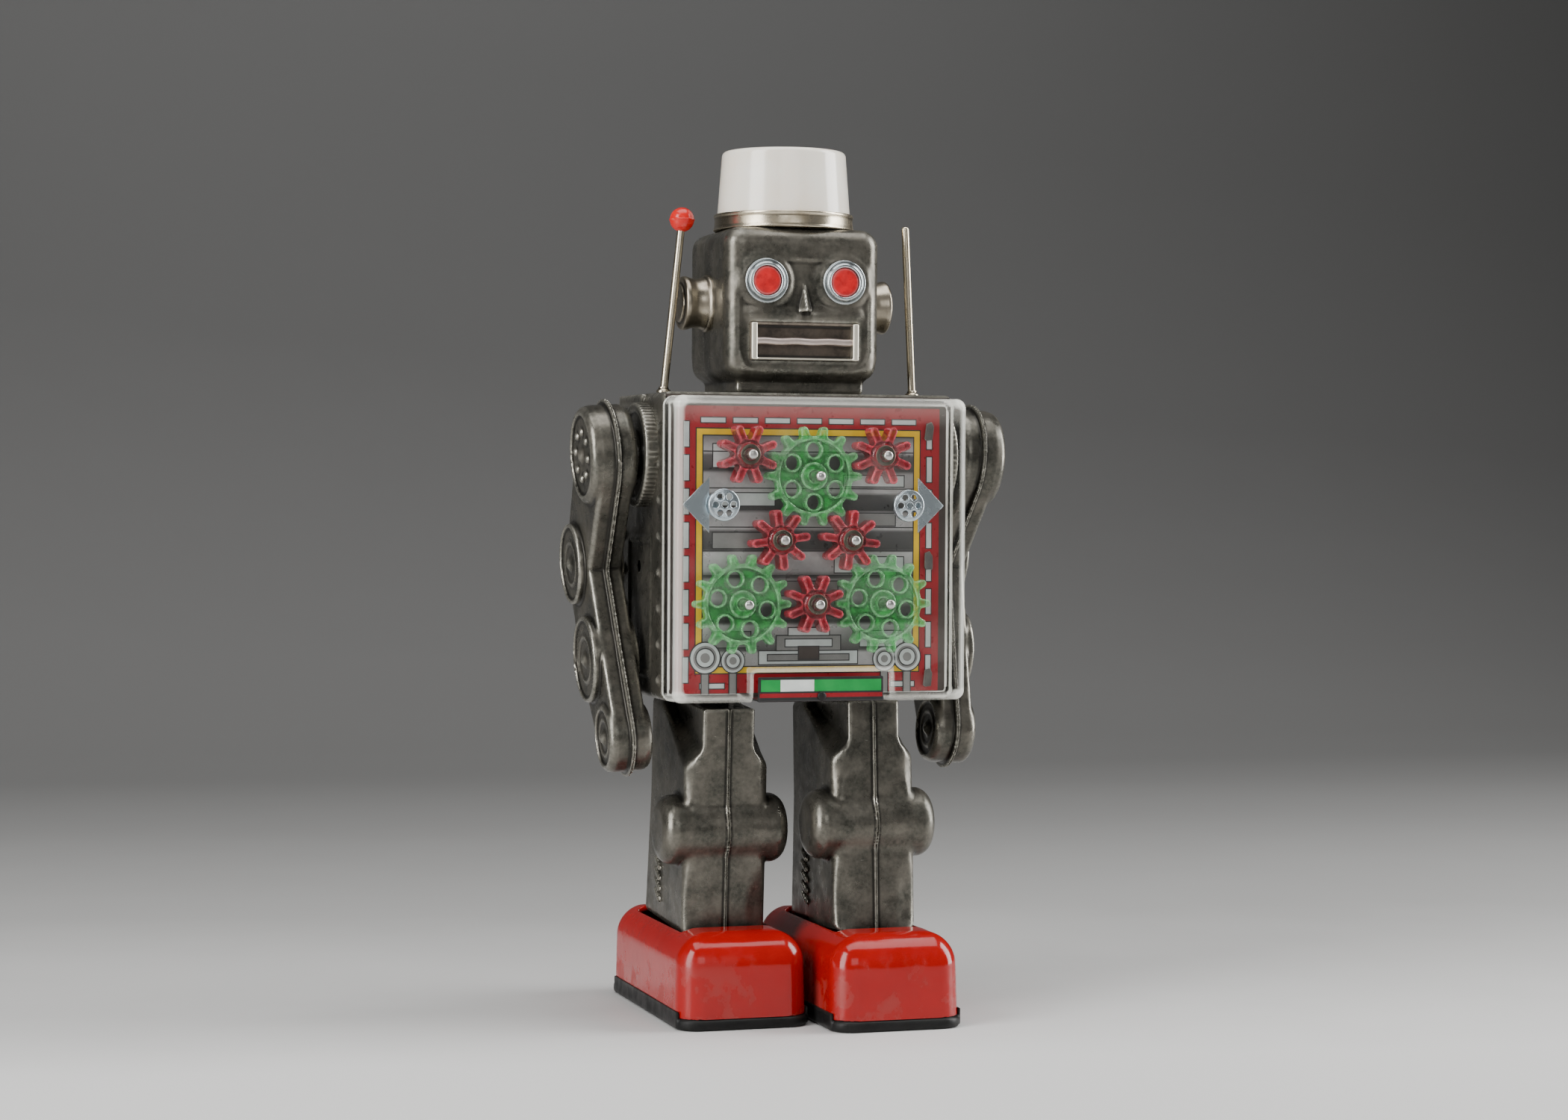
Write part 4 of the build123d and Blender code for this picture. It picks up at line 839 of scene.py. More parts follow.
def window_clip():
    """Bent strip with a turned-up printed lip, held by a screw."""
    low, high = corners("window_clip")
    thick = 0.8

    def field(x, y, z):
        lip = box(x, y, z, low, (high[0], low[1] + thick, high[2]), 0.35)
        shelf = box(x, y, z, low, (high[0], high[1], low[2] + thick), 0.35)
        return join(lip, shelf, 0.8)

    stand_in("window_clip", surface(field, low, high, 0.35), INK_BLACK, "torso", "printed_clip")
    base, top = low[2] + 3.2, high[2] - 0.9
    layers = [
        (bar(low[0] + 0.5, high[0] - 0.5, low[2] + 0.7, base - 0.6), 1, INK_RED),
        (bar(low[0] + 0.9, high[0] - 0.9, base, top), 1, INK_GREEN),
        (bar(-14.0, -2.5, base, top), 2, INK_WHITE),
    ]
    flat_shapes("clip_print", layers, low[1], "printed_clip")
    verts, faces = lathe(rounded([(0, 0), (1.5, 0), (1.5, 0.9), (0, 1.425)], 0.45), 32)
    screw = facing_front(verts) + (0, low[1], low[2] + 1.6), faces
    piece("clip_screw", screw, BLACK_TIN, "torso", slot="steel")


DISC_X = 31.8


def chest_arrow(side):
    """Bright tin arrowhead on its post, with a tail that ends behind the disc of holes."""
    low, high = corners("arrow_plates")
    tip, base, tail, tail_half = high[0], 36.0, DISC_X, 2.2
    z, half = (low[2] + high[2]) / 2, (high[2] - low[2]) / 2
    thick, post_x = 0.6, 38.5
    outline = [
        (base, half), (base, tail_half), (tail, tail_half), (tail, -tail_half), (base, -tail_half),
        (base, -half), (tip, 0),
    ]
    outline = [(side * reach, z + rise) for reach, rise in outline]
    if side > 0:
        outline.reverse()
    verts, faces = plate([outline], thick, 0.14)
    arrow = facing_front(verts) + (0, low[1] + thick / 2, 0), faces
    post = lathe(rounded([(0, 0), (1.4, 0), (1.4, 5.5), (0, 5.5)], 0.3), 24)
    return merge(arrow, (facing_front(post[0]) + (side * post_x, PLATE_FRONT - 0.1, z), post[1]))


def perforated_disc():
    """Shallow dome with a rolled rim and seven holes, about its own centre, looking along -Y."""
    radius = 5.2

    def field(x, y, z):
        out = np.hypot(x, z)
        dome = np.sqrt(x**2 + (y - 15.0) ** 2 + z**2) - 15.9
        shell = round_meet(np.abs(dome + 0.45) - 0.45, out - radius, 0.3)
        rim = round_meet(np.abs(out - radius + 0.45) - 0.45, slab(y, -0.1, 2.2), 0.3)
        shape = join(shell, rim, 0.6)
        for k in range(7):
            angle, reach = math.radians(60 * k), 3.0 if k < 6 else 0.0
            shape = cut(shape, np.hypot(x - reach * math.cos(angle), z - reach * math.sin(angle)) - 1.0, 0.3)
        return shape

    return surface(field, (-radius, -1.2, -radius), (radius, 2.4, radius), 0.2)


def chest_fittings():
    """Both arrow plates as one piece, and both discs of holes as another."""
    low, high = corners("arrow_plates")
    z = (low[2] + high[2]) / 2
    disc_front = corners("perforated_discs")[0][1]
    verts, faces = perforated_disc()
    arrows = [chest_arrow(side) for side in SIDES.values()]
    discs = [(verts + (side * DISC_X, disc_front + 0.9, z), faces) for side in SIDES.values()]
    stand_in("arrow_plates", merge(*arrows), BRIGHT_TIN, "torso", "bright_tin")
    stand_in("perforated_discs", merge(*discs), BRIGHT_TIN, "torso", "bright_tin")


def plate_tabs():
    """Three folded tin tabs that stand a little out of the chest plate on its left."""
    outline = [(-1.7, -2.6), (-0.9, -3.2), (1.5, -3.0), (1.8, 1.4), (0.6, 3.1), (-1.3, 2.4)]
    fold, tab_x, proud = 16, 41.6, 1.0
    verts, faces = plate([outline], 0.5, 0.12)
    tabs = []
    for z, tilt in ((195.5, 12), (152.5, -9), (113.5, 6)):
        tilted = turned(turned(facing_front(verts), "Z", fold), "X", tilt)
        tabs.append((tilted + (tab_x, PLATE_FRONT - proud, z), faces))
    piece("plate_tabs", merge(*tabs), DARK_TIN, "torso", slot="bright_tin")


# ---------------------------------------------------------------- chest gears

GEAR_TEETH, GEAR_TIP_R, GEAR_HALF_FACE = 14, 16.6, 2.0
PINION_TEETH, PINION_TIP_R, PINION_HALF_FACE = 8, 10.0, 3.5
BORE_R = 1.9
# Distance between meshing gears, and the directions from the top wheel to the pinions on the robot's left.
GEAR_SPACING, OUTER_ANGLE, INNER_ANGLE = 24.2, 16.6, -60


def wheel_field(teeth, root_r, tip_r, root_w, tip_w, half_face):
    """A moulded wheel about Y with round-ended teeth, one of them pointing along +X."""
    pitch = 2 * math.pi / teeth

    def field(x, y, z):
        out, angle = np.hypot(x, z), np.arctan2(z, x)
        folded = angle - pitch * np.round(angle / pitch)
        along, across = out * np.cos(folded), out * np.sin(folded)
        tooth = strip(along, np.abs(across), (root_r - 1.0, 0), root_w / 2, (tip_r - tip_w / 2, 0), tip_w / 2)
        return round_meet(join(out - root_r, tooth, 0.9), np.abs(y) - half_face, 0.45)

    return field


def large_gear():
    """Wheel with a thin web and six rimmed holes."""
    holes, hole_r, rim_r, hole_reach = 6, 2.4, 3.1, 8.6
    wheel = wheel_field(GEAR_TEETH, 13.2, GEAR_TIP_R, 3.3, 2.5, GEAR_HALF_FACE)

    def field(x, y, z):
        out = np.hypot(x, z)
        web = np.maximum(slab(out, 4.6, 11.8), 1.0 - np.abs(y))
        shape = cut(wheel(x, y, z), web, 0.6)
        for k in range(holes):
            angle = math.radians(30 + 360 / holes * k)
            reach = np.hypot(x - hole_reach * math.cos(angle), z - hole_reach * math.sin(angle))
            shape = join(shape, round_meet(reach - rim_r, np.abs(y) - 1.8, 0.4), 0.4)
            shape = cut(shape, reach - hole_r, 0.4)
        return cut(shape, out - BORE_R, 0.2)

    size = np.array((GEAR_TIP_R, GEAR_HALF_FACE, GEAR_TIP_R))
    return surface(field, -size, size, 0.35)


def small_gear():
    """Pinion with a hub in front and a groove round it."""
    hub_front = -4.7
    wheel = wheel_field(PINION_TEETH, 4.8, PINION_TIP_R, 2.5, 2.7, PINION_HALF_FACE)

    def field(x, y, z):
        out = np.hypot(x, z)
        shape = join(wheel(x, y, z), round_meet(out - 3.5, slab(y, hub_front, 0), 0.4), 0.6)
        ring = np.hypot(out - 4.4, y + PINION_HALF_FACE) - 0.45
        return cut(cut(shape, ring, 0.3), out - BORE_R, 0.2)

    low, high = (-PINION_TIP_R, hub_front, -PINION_TIP_R), (PINION_TIP_R, PINION_HALF_FACE, PINION_TIP_R)
    return surface(field, low, high, 0.32)


def chest_gears():
    """One wheel and one pinion, copied to every gear's place and turned so that the teeth mesh."""
    large, small = large_gear(), small_gear()
    for side_name, side in SIDES.items():
        outer, inner = (angle if side > 0 else 180 - angle for angle in (OUTER_ANGLE, INNER_ANGLE))
        outer_phase, inner_phase = (
            meshed_phase(GEAR_TEETH, 0.0, PINION_TEETH, angle) for angle in (outer, inner)
        )
        low_phase = meshed_phase(PINION_TEETH, inner_phase, GEAR_TEETH, inner)
        place_gear(f"pinion_outer_{side_name}", small, outer_phase)
        place_gear(f"pinion_inner_{side_name}", small, inner_phase)
        place_gear(f"gear_low_{side_name}", large, low_phase)
        if side_name == "right":
            place_gear("pinion_low", small, meshed_phase(GEAR_TEETH, low_phase, PINION_TEETH, 0.0))
    place_gear("gear_top", large, 0.0)


def meshed_phase(teeth_a, phase_a, teeth_b, direction):
    """Phase that puts wheel b in mesh with wheel a, where direction points from a to b."""
    return ((teeth_a + teeth_b) * direction + 180 * teeth_b - 180 - teeth_a * phase_a) / teeth_b


def gear_centre(name):
    """Centre of a gear, stepped out from the top wheel."""
    top = middle("gear_top")
    if name == "gear_top":
        return top
    if name == "pinion_low":
        return np.array((0, top[1], top[2] + 2 * GEAR_SPACING * math.sin(math.radians(INNER_ANGLE))))
    _, kind, side_name = name.split("_")
    angle, steps = {"outer": (OUTER_ANGLE, 1), "inner": (INNER_ANGLE, 1), "low": (INNER_ANGLE, 2)}[kind]
    reach, turn = GEAR_SPACING * steps, math.radians(angle)
    return top + (SIDES[side_name] * reach * math.cos(turn), 0, reach * math.sin(turn))


def place_gear(name, shape, phase):
    """A gear at its place, and for a pinion the metal collar in front of it."""
    verts, faces = shape
    low, high = corners(name)
    centre = gear_centre(name)
    body = "chest_drive" if name == "gear_top" else name
    if name.startswith("gear"):
        centre[1] = (low[1] + high[1]) / 2
        colour, slot = GREEN_PLASTIC, "green_plastic"
    else:
        centre[1] = high[1] - PINION_HALF_FACE
        colour, slot = RED_PLASTIC, "red_plastic"
        collar_verts, collar_faces = lathe(
            rounded([(2.0, 0), (2.0, 0.35), (2.4, 0.6), (3.3, 0.5), (3.5, 0)], 0.25), 40)
        collar = facing_front(collar_verts) + (centre[0], low[1] + 0.35, centre[2]), collar_faces
        piece(name.replace("pinion", "collar"), collar, AGED_NICKEL, body, slot="steel")
    stand_in(name, (turned(verts, "Y", -phase) + centre, faces), colour, body, slot)


def gear_pins():
    """A pin for each chest gear but the top one, which the chest shaft carries."""
    profile = rounded([(0, 0), (1.75, 0), (1.75, 12.2), (1.5, 13.4), (0, 13.7)], 0.8)
    verts, faces = lathe(profile, 28)
    names = ["pinion_low"]
    names += [f"{kind}_{side}" for side in SIDES for kind in ("pinion_outer", "pinion_inner", "gear_low")]
    pins = []
    for name in names:
        x, _, z = gear_centre(name)
        pins.append((facing_front(verts) + (x, PLATE_FRONT, z), faces))
    stand_in("gear_pins", merge(*pins), STEEL, "torso", "steel")


def shoulder_bosses():
    """Stepped pressed discs with a knurled edge and a hole for the arm's shaft."""
    low, high = corners("shoulder_bosses")
    y, z = (low[1] + high[1]) / 2, (low[2] + high[2]) / 2
    radius, depth = (high[1] - low[1]) / 2, high[0] - HALF_W
    knurls, knurl_depth, hub_r, hole_r = 64, 0.09, 8, 3.3

    def field(u, a, b):
        out = np.hypot(a, b)
        knurl = knurl_depth * np.cos(knurls * np.arctan2(b, a))
        shape = round_meet(out - radius + 0.3 + knurl, slab(u, -0.5, depth), 0.7)
        shape = cut(shape, round_meet(out - radius + 3.2, slab(u, depth - 0.7, depth + 3), 0.5), 0.6)
        shape = join(shape, round_meet(out - hub_r, slab(u, 0, depth - 0.1), 0.6), 0.8)
        return cut(shape, out - hole_r, 0.2)

    verts, faces = surface(field, (0, -radius, -radius), (depth, radius, radius), 0.5)
    verts = verts + (HALF_W, y, z)
    both = merge((verts, faces), (verts * (-1, 1, 1), faces[:, ::-1]))
    stand_in("shoulder_bosses", both, GREY_TIN, "torso", "grey_tin")


# ---------------------------------------------------------------- head

# Heights on the face, and half the width and height of the opening for the mouth.
EYE_X, EYE_Z = 13.5, 244.6
NOSE_TOP, NOSE_FOOT, CHEEK_Z, FACE_Z = 243.6, 234.7, 233.4, 233
MOUTH_RIM = (18.9, 6.3)


def head_shell():
    """Pressed tin head: tucked-in chin, necked foot, rear shell, face panel, eye swellings, nose, mouth."""
    low, high = HEAD_LOW, HEAD_HIGH
    front, back, half = HEAD_FRONT, high[1], high[0]
    mouth_low, mouth_high = corners("mouth_frame")
    mouth_z = (mouth_low[2] + mouth_high[2]) / 2
    tuck_depth, tuck_top, tuck_height = 1.7, low[2] + 15, 11
    neck_inset, neck_height, rear_y, rear_step = 4.6, 9, 7.0, 0.45

    def nose_field(across, y, z):
        """Wedge that stands further out towards its foot."""
        fall = np.clip((NOSE_TOP - 0.2 - z) / 8.2, 0, 1)
        ridge = front + 0.4 - 3.4 * fall
        sides = (across * 1.55 - (y - ridge) - 0.15) / 1.75
        foot = (NOSE_FOOT - z) * 0.97
        return np.maximum(np.maximum(np.maximum(sides, foot), y - front - 2), z - NOSE_TOP)

    def field(x, y, z):
        across = np.abs(x)
        tuck = tuck_depth * np.clip((tuck_top - z) / tuck_height, 0, 1) ** 2
        body = box(across, y, z, (-half, front, low[2] + 3.2), (half, back, high[2]), 6.0) + tuck
        neck_low = (neck_inset - half, front + neck_inset, low[2])
        neck_high = (half - neck_inset, back - neck_inset, low[2] + neck_height)
        shape = join(body, box(across, y, z, neck_low, neck_high, 1.6), 2.0)
        rear_low, rear_high = (half - rear_step, rear_y, low[2] - 4), (half + 9, back + 9, high[2] + 4)
        shape = cut(shape, box(across, y, z, rear_low, rear_high, 0.3), 0.5)
        panel = round_meet(rectangle(x, z - FACE_Z, half - 5, 18, 8), slab(y, front - 5, front + 0.35), 0.3)
        shape = cut(shape, panel, 1.6)
        eye = np.hypot(across - EYE_X, z - EYE_Z)
        swelling = np.hypot(np.maximum(eye - 7.4, 0), y - front - 1.5) - 1.9
        shape = join(shape, swelling, 1.8)
        cheek_start, cheek_end = (4, front + 2.0, CHEEK_Z), (18, front + 2.0, CHEEK_Z + 0.4)
        shape = join(shape, capsule(across, y, z, cheek_start, cheek_end, 2.1), 2.5)
        shape = join(shape, nose_field(across, y, z), 0.5)
        rim = rectangle(x, z - mouth_z, *MOUTH_RIM, 0.8)
        return cut(shape, round_meet(rim, slab(y, front - 6, front + 3.5), 0.3), 0.3)

    shape = surface(field, (-half, front - 3.5, low[2]), (half, back, high[2]), 0.6)
    stand_in("head_shell", shape, GREY_TIN, "torso", "grey_tin")


def mouth():
    """Dark scratched recess with bright side bars, a thin bright lip and a rounded bar across."""
    low, high = corners("mouth_frame")
    wall, side_w = 0.9, 2.2

    def tray(x, y, z):
        shape = box(x, y, z, low + (0, wall, 0), high, 0.3)
        hollow = box(x, y, z, low + (wall, -3, wall), high - wall, 0.3)
        return cut(shape, hollow, 0.3)

    def sides(x, y, z):
        side_low = (high[0] - side_w, low[1], low[2] + 0.1)
        side_high = (high[0] - 0.2, high[1] - 1, high[2] - 0.1)
        shape = box(np.abs(x), y, z, side_low, side_high, 0.45)
        lip_low = (low[0] + 1, low[1] + 0.2, low[2] + 0.1)
        lip_high = (high[0] - 1, low[1] + 2.0, low[2] + 0.8)
        return join(shape, box(x, y, z, lip_low, lip_high, 0.3), 0.3)

    piece("mouth_recess", surface(tray, low, high, 0.4), MOUTH_TIN, "torso", ["mouth_frame"], "bright_tin")
    piece("mouth_sides", surface(sides, low, high, 0.3), CREAM_METAL, "torso", slot="bright_tin")
    bar_low, bar_high = corners("mouth_bar")
    centre_z = (bar_low[2] + bar_high[2]) / 2
    start = (bar_low[0] + 1.2, bar_low[1] + 1.4, centre_z)
    end = (bar_high[0] - 1.2, bar_low[1] + 1.35, centre_z)

    def wavy_bar(x, y, z):
        return capsule(x, y, z + 0.12 * np.sin(x * 0.55), start, end, 1.3)

    shape = surface(wavy_bar, bar_low, bar_high, 0.3)
    stand_in("mouth_bar", shape, LIP_METAL, "torso", "nickel")


def eyes():
    """Stepped metal rings with red lenses."""
    ring_profile = rounded([
        (4.9, 0.0), (4.9, 1.6), (5.3, 1.9), (5.9, 1.8), (6.3, 1.2), (6.6, 1.0), (7.3, 0.9), (7.6, 0.0),
    ], 0.3)
    lens_profile = rounded([(0, 1.6), (3.6, 1.5), (4.7, 1.3), (4.9, 0.0)], 0.4)
    ring_verts, ring_faces = lathe(ring_profile)
    lens_verts, lens_faces = lathe(lens_profile[::-1])
    places = [(side * EYE_X, HEAD_FRONT, EYE_Z) for side in SIDES.values()]
    rings = [(facing_front(ring_verts) + place, [f[::-1] for f in ring_faces]) for place in places]
    lenses = [(facing_front(lens_verts) + place, lens_faces) for place in places]
    stand_in("eye_rings", merge(*rings), RING_METAL, "torso", "bright_tin")
    stand_in("eye_lenses", merge(*lenses), LENS_PLASTIC, "torso", "red_plastic")


def ears():
    """Nickel spools: a flange at the head, a waist, a rounded outer flange and a domed end."""
    low, high = corners("ears")
    y, z = (low[1] + high[1]) / 2, (low[2] + high[2]) / 2
    profile = rounded([
        (9.6, 0.0), (9.6, 1.0), (8.9, 1.6), (8.2, 3.6), (8.2, 5.4), (8.7, 7.0), (9.0, 7.8), (9.0, 9.0),
        (8.0, 9.6), (6.6, 9.4), (6.0, 10.3), (3.0, 10.4), (0.0, 10.4),
    ], 0.7)
    verts, faces = lathe(profile)
    both = [(facing_side(verts, side) + (side * HEAD_HIGH[0], y, z), faces) for side in SIDES.values()]
    stand_in("ears", merge(*both), AGED_NICKEL, "torso", "nickel")


def cap_and_collar():
    """White tapered cap on a grooved metal collar."""
    low, high = corners("cap")
    centre = ((low[0] + high[0]) / 2, (low[1] + high[1]) / 2, 0)
    foot, segments = corners("cap_collar")[0][2], 120
    collar_profile = rounded([
        (18, foot + 0.1), (23.0, foot), (23.9, foot + 0.5), (23.5, foot + 1.4), (23.3, foot + 4.3),
        (23.7, foot + 5.2), (23.4, foot + 5.8), (22.7, foot + 5.6), (22.6, foot + 4.0), (18, foot + 3.9),
    ], 0.5)
    verts, faces = lathe(collar_profile, segments)
    stand_in("cap_collar", (verts + centre, faces), NICKEL, "torso", "nickel")
    cap_profile = rounded([
        (21.6, low[2] + 0.2), (22.5, low[2] + 0.4), (22.4, low[2] + 1.6), (20.9, high[2] - 1.5),
        (20.2, high[2] - 0.5), (12, high[2] - 0.2), (0, high[2]),
    ], 0.7)
    verts, faces = lathe(cap_profile, segments)
    stand_in("cap", (verts + centre, faces), WHITE_PLASTIC, "torso", "white_plastic")


def antennas():
    """Bright rods in flared ferrules, one with a red ball that has a moulding line."""
    low, high = corners("antenna_rods")
    reach, rod_r, foot_x, foot_y = 58.0, 1.3, 43.8, (low[1] + high[1]) / 2
    rod_profile = rounded([(rod_r, -0.6), (rod_r, reach - 0.9), (0.9, reach - 0.2), (0, reach)], 0.5)
    ferrule_profile = rounded([(2.4, 0), (2.4, 1.0), (1.7, 1.5), (1.6, 2.2), (rod_r, 2.2)], 0.3)
    rods = []
    for side_name, lean in (("right", 6.0), ("left", 2.8)):
        side = SIDES[side_name]
        base = (side * foot_x, foot_y, TORSO_HIGH[2])
        rod = lathe(rod_profile, 24)
        rods.append((turned(rod[0], "Y", -side * lean) + base, rod[1]))
        ferrule = lathe(ferrule_profile, 32)
        rods.append((ferrule[0] + base, ferrule[1]))
    stand_in("antenna_rods", merge(*rods), NICKEL, "torso", "nickel")
    centre = middle("antenna_ball")
    ball_low, ball_high = corners("antenna_ball")
    radius = (ball_high[1] - ball_low[1]) / 2

    def ball(x, y, z):
        out = np.sqrt((x - centre[0]) ** 2 + (y - centre[1]) ** 2 + (z - centre[2]) ** 2)
        line = np.hypot(out - radius + 0.02, z - centre[2]) - 0.16
        return join(out - radius + 0.12, line, 0.3)

    shape = surface(ball, ball_low, ball_high, 0.35)
    stand_in("antenna_ball", shape, BALL_PAINT, "torso", "red_plastic")


# ---------------------------------------------------------------- arms

# Discs of the arm as (y, z, radius), from the shoulder to the hand, then for each disc its depth on
# the outer and inner half, how round its edge is, and how far in from the edge its dish begins.
ARM_STATIONS = [(-5.5, 187.0, 16.8), (20.0, 151.8, 14.2), (8.5, 119.6, 15.0), (-5.5, 93.8, 11.8)]
OUTER_DEPTH, INNER_DEPTH = (8.8, 8.8, 8.8, 7.5), (7.2, 7.2, 7.2, 7.2)
DISC_ROUNDING = (2.8, 0.9, 1.2, 2.0)
DISC_RIM = (3.6, 1.9, 2.0, 2.8)
SHOULDER_Y, SHOULDER_Z = ARM_STATIONS[0][:2]
FLANGE_X, FLANGE_THICK, FLANGE_WIDTH = 63.5, 0.6, 1.5
# Degrees by which an arm leans outwards, and is swung at rest.
ARM_TILT, ARM_SWING = 3.4, 2.55
# Each half starts this far from the plane where it meets the other, so that their faces don't coincide.
SEAM = 0.02


def arm_links(y, z, grow):
    """Side outline of the arm: four circles and the tangents between them."""
    outline = None
    for (y0, z0, r0), (y1, z1, r1) in zip(ARM_STATIONS, ARM_STATIONS[1:]):
        link = strip(y, z, (y0, z0), r0 + grow, (y1, z1), r1 + grow)
        outline = link if outline is None else np.minimum(outline, link)
    return outline


def arm_field(disc_depths, link_depth, dots):
    """Half an arm above its flange plane: dished discs joined by shallower links."""
    dot_reach, dot_r, first_dot = 7.8, 1.45, 12

    def shoulder_dots(u, y, z, depth):
        """A ring of round dots on the shoulder's disc."""
        shape = np.inf
        for k in range(dots):
            turn = math.radians(360 / dots * k + first_dot)
            dy = y - SHOULDER_Y - dot_reach * math.cos(turn)
            dz = z - SHOULDER_Z - dot_reach * math.sin(turn)
            shape = np.minimum(shape, np.sqrt(dy**2 + dz**2 + (u - depth + 1.1) ** 2) - dot_r)
        return shape

    def field(u, y, z):
        flange = round_meet(arm_links(y, z, FLANGE_WIDTH), slab(u, 0, FLANGE_THICK), 0.25)
        shape = join(flange, round_meet(arm_links(y, z, -0.4), slab(u, -2, link_depth), 1.6), 1.0)
        for station, depth, rounding, rim in zip(ARM_STATIONS, disc_depths, DISC_ROUNDING, DISC_RIM):
            station_y, station_z, radius = station
            out = np.hypot(y - station_y, z - station_z)
            shape = join(shape, round_meet(out - radius + 0.6, slab(u, -2, depth), rounding), 0.9)
            shape = cut(shape, round_meet(out - radius + rim, slab(u, depth - 0.9, depth + 4), 0.4), 0.7)
            boss = np.hypot(out, u - depth + 2.0) - 2.7
            shape = join(shape, boss, 1.2)
            if station != ARM_STATIONS[0]:
                inner_ring = np.hypot(out - 0.5 * radius, u - depth + 1.2) - 0.75
                shape = join(shape, inner_ring, 0.5)
            elif dots:
                shape = join(shape, shoulder_dots(u, y, z, depth), 0.35)
        return np.maximum(shape, -u)

    return field


def place_halves(limb, halves, middle_x, place):
    """Both halves of both arms or legs, where place(vertices, side) puts a half on its own side."""
    for side_name, side in SIDES.items():
        for half_name, (verts, faces), outward in halves:
            direction = side * outward
            placed = place(verts * (direction, 1, 1) + (side * middle_x + direction * SEAM, 0, 0), side)
            name = f"{limb}_{half_name}_{side_name}"
            flipped = faces if direction > 0 else faces[:, ::-1]
            stand_in(name, (placed, flipped), GREY_TIN, f"{limb}_{side_name}", "grey_tin")


def arms():
    """Arms leaning out from the shoulder and swung as far as at rest."""
    low_y, high_y = min(s[0] - s[2] for s in ARM_STATIONS) - 2, max(s[0] + s[2] for s in ARM_STATIONS) + 2
    low_z, high_z = ARM_STATIONS[-1][1] - ARM_STATIONS[-1][2] - 2, SHOULDER_Z + ARM_STATIONS[0][2] + 2
    outer = surface(arm_field(OUTER_DEPTH, 6.2, dots=8), (0, low_y, low_z), (8.8, high_y, high_z), 0.5)
    inner = surface(arm_field(INNER_DEPTH, 5.6, dots=0), (0, low_y, low_z), (7.4, high_y, high_z), 0.55)

    def hang(verts, side):
        leaning = turned(verts, "Y", side * ARM_TILT, (side * FLANGE_X, 0, SHOULDER_Z))
        return turned(leaning, "X", side * ARM_SWING, (0, SHOULDER_Y, SHOULDER_Z))

    place_halves("arm", [("outer", outer, 1), ("inner", inner, -1)], FLANGE_X, hang)


# ---------------------------------------------------------------- legs

# Side view (y, z) and widths of an upright leg, which is then turned about the hip by the stride, in degrees.
LEG_X, HIP_Y, HIP_Z, STRIDE = 24.2, 2.0, 150.0, 3.4
LEG_FRONT, LEG_BACK, HEEL_Y, CALF_Z, LEG_LOW, LEG_TOP = -21.1, 26.0, 30.5, 71.0, 27.4, 104.4
LEG_HALF_W, HIP_HALF_W = 14.3, 8.65
KNEE_Y, KNEE_Z, KNEE_R, KNEE_HALF_W = -12.2, 63.2, 11.6, 21.6
LEG_OUTLINE = [
    (LEG_FRONT, LEG_LOW), (HEEL_Y, LEG_LOW), (LEG_BACK, CALF_Z), (LEG_BACK, LEG_TOP), (LEG_FRONT, LEG_TOP),
]
GROOVES, LOUVRES = 6, 5


def stretched_ball(u, y, z, centre, radius, stretch):
    """Ball drawn out upwards, which presses a shallow hollow."""
    return np.sqrt((u - centre[0]) ** 2 + (y - centre[1]) ** 2 + ((z - centre[2]) / stretch) ** 2) - radius


def leg_half():
    """Outward half of a leg: narrow hip, wide thigh and shin, knee roll, seam ridge, louvres, grooves."""
    thigh_hollow, shin_hollow = (15.6, LEG_FRONT - 4.6, 81.5), (12.5, LEG_FRONT - 5.0, 38)
    pocket_low, pocket_high = (-9, LEG_FRONT + 2.0, LEG_LOW - 20), (LEG_HALF_W - 1.7, 25.5, 52)

    def pressed_rows(shape, u, y, z):
        """Grooves across the calf, and slanting raised slots on the side."""
        for step in range(GROOVES):
            height = 57.0 + 3.0 * step
            back = HEEL_Y - (HEEL_Y - LEG_BACK) * (height - LEG_LOW) / (CALF_Z - LEG_LOW) - 0.5
            shape = cut(shape, capsule(u, y, z, (3.5, back, height), (18, back, height), 1.1), 0.3)
        for step in range(LOUVRES):
            height = 36.0 + 3.6 * step
            start, end = (LEG_HALF_W + 0.1, 8.5, height), (LEG_HALF_W + 0.1, 12.5, height + 2.6)
            slot = capsule(u, y, z, start, end, 0.85)
            shape = cut(join(shape, slot - 0.25, 0.4), slot + 0.2, 0.3)
        return shape

    def field(u, y, z):
        side = polygon(y, z, LEG_OUTLINE)
        shape = round_meet(side, u - LEG_HALF_W, 3.8)
        flare = np.clip((4 - y) / 16, 0, 1) * (3.4 - 1.15 * (u - HIP_HALF_W))
        ledge = (z - 87.8 - 0.48 * (y + 20) - flare) * 0.7
        shape = cut(shape, round_meet(-ledge, HIP_HALF_W + 0.3 - u, 1.2), 1.4)
        shape = cut(shape, stretched_ball(u, y, z, thigh_hollow, 6.2, 1.8), 2.2)
        shape = cut(shape, stretched_ball(u, y, z, shin_hollow, 6.1, 2.4), 2.2)
        knee_out = np.hypot(y - KNEE_Y, z - KNEE_Z) - KNEE_R
        shape = join(shape, round_meet(knee_out, u - KNEE_HALF_W, 5.0), 1.6)
        shape = pressed_rows(shape, u, y, z)
        ridge = round_meet(np.maximum(np.minimum(side, knee_out) - 0.8, y + 8), u - 0.35, 0.3)
        shape = join(shape, ridge, 0.4)
        shape = cut(shape, box(u, y, z, pocket_low, pocket_high, 2.0), 0.3)
        return np.maximum(np.maximum(shape, -u), slab(z, LEG_LOW, LEG_TOP))

    return surface(field, (0, KNEE_Y - KNEE_R - 1.2, LEG_LOW), (KNEE_HALF_W, HEEL_Y, LEG_TOP), 0.5)


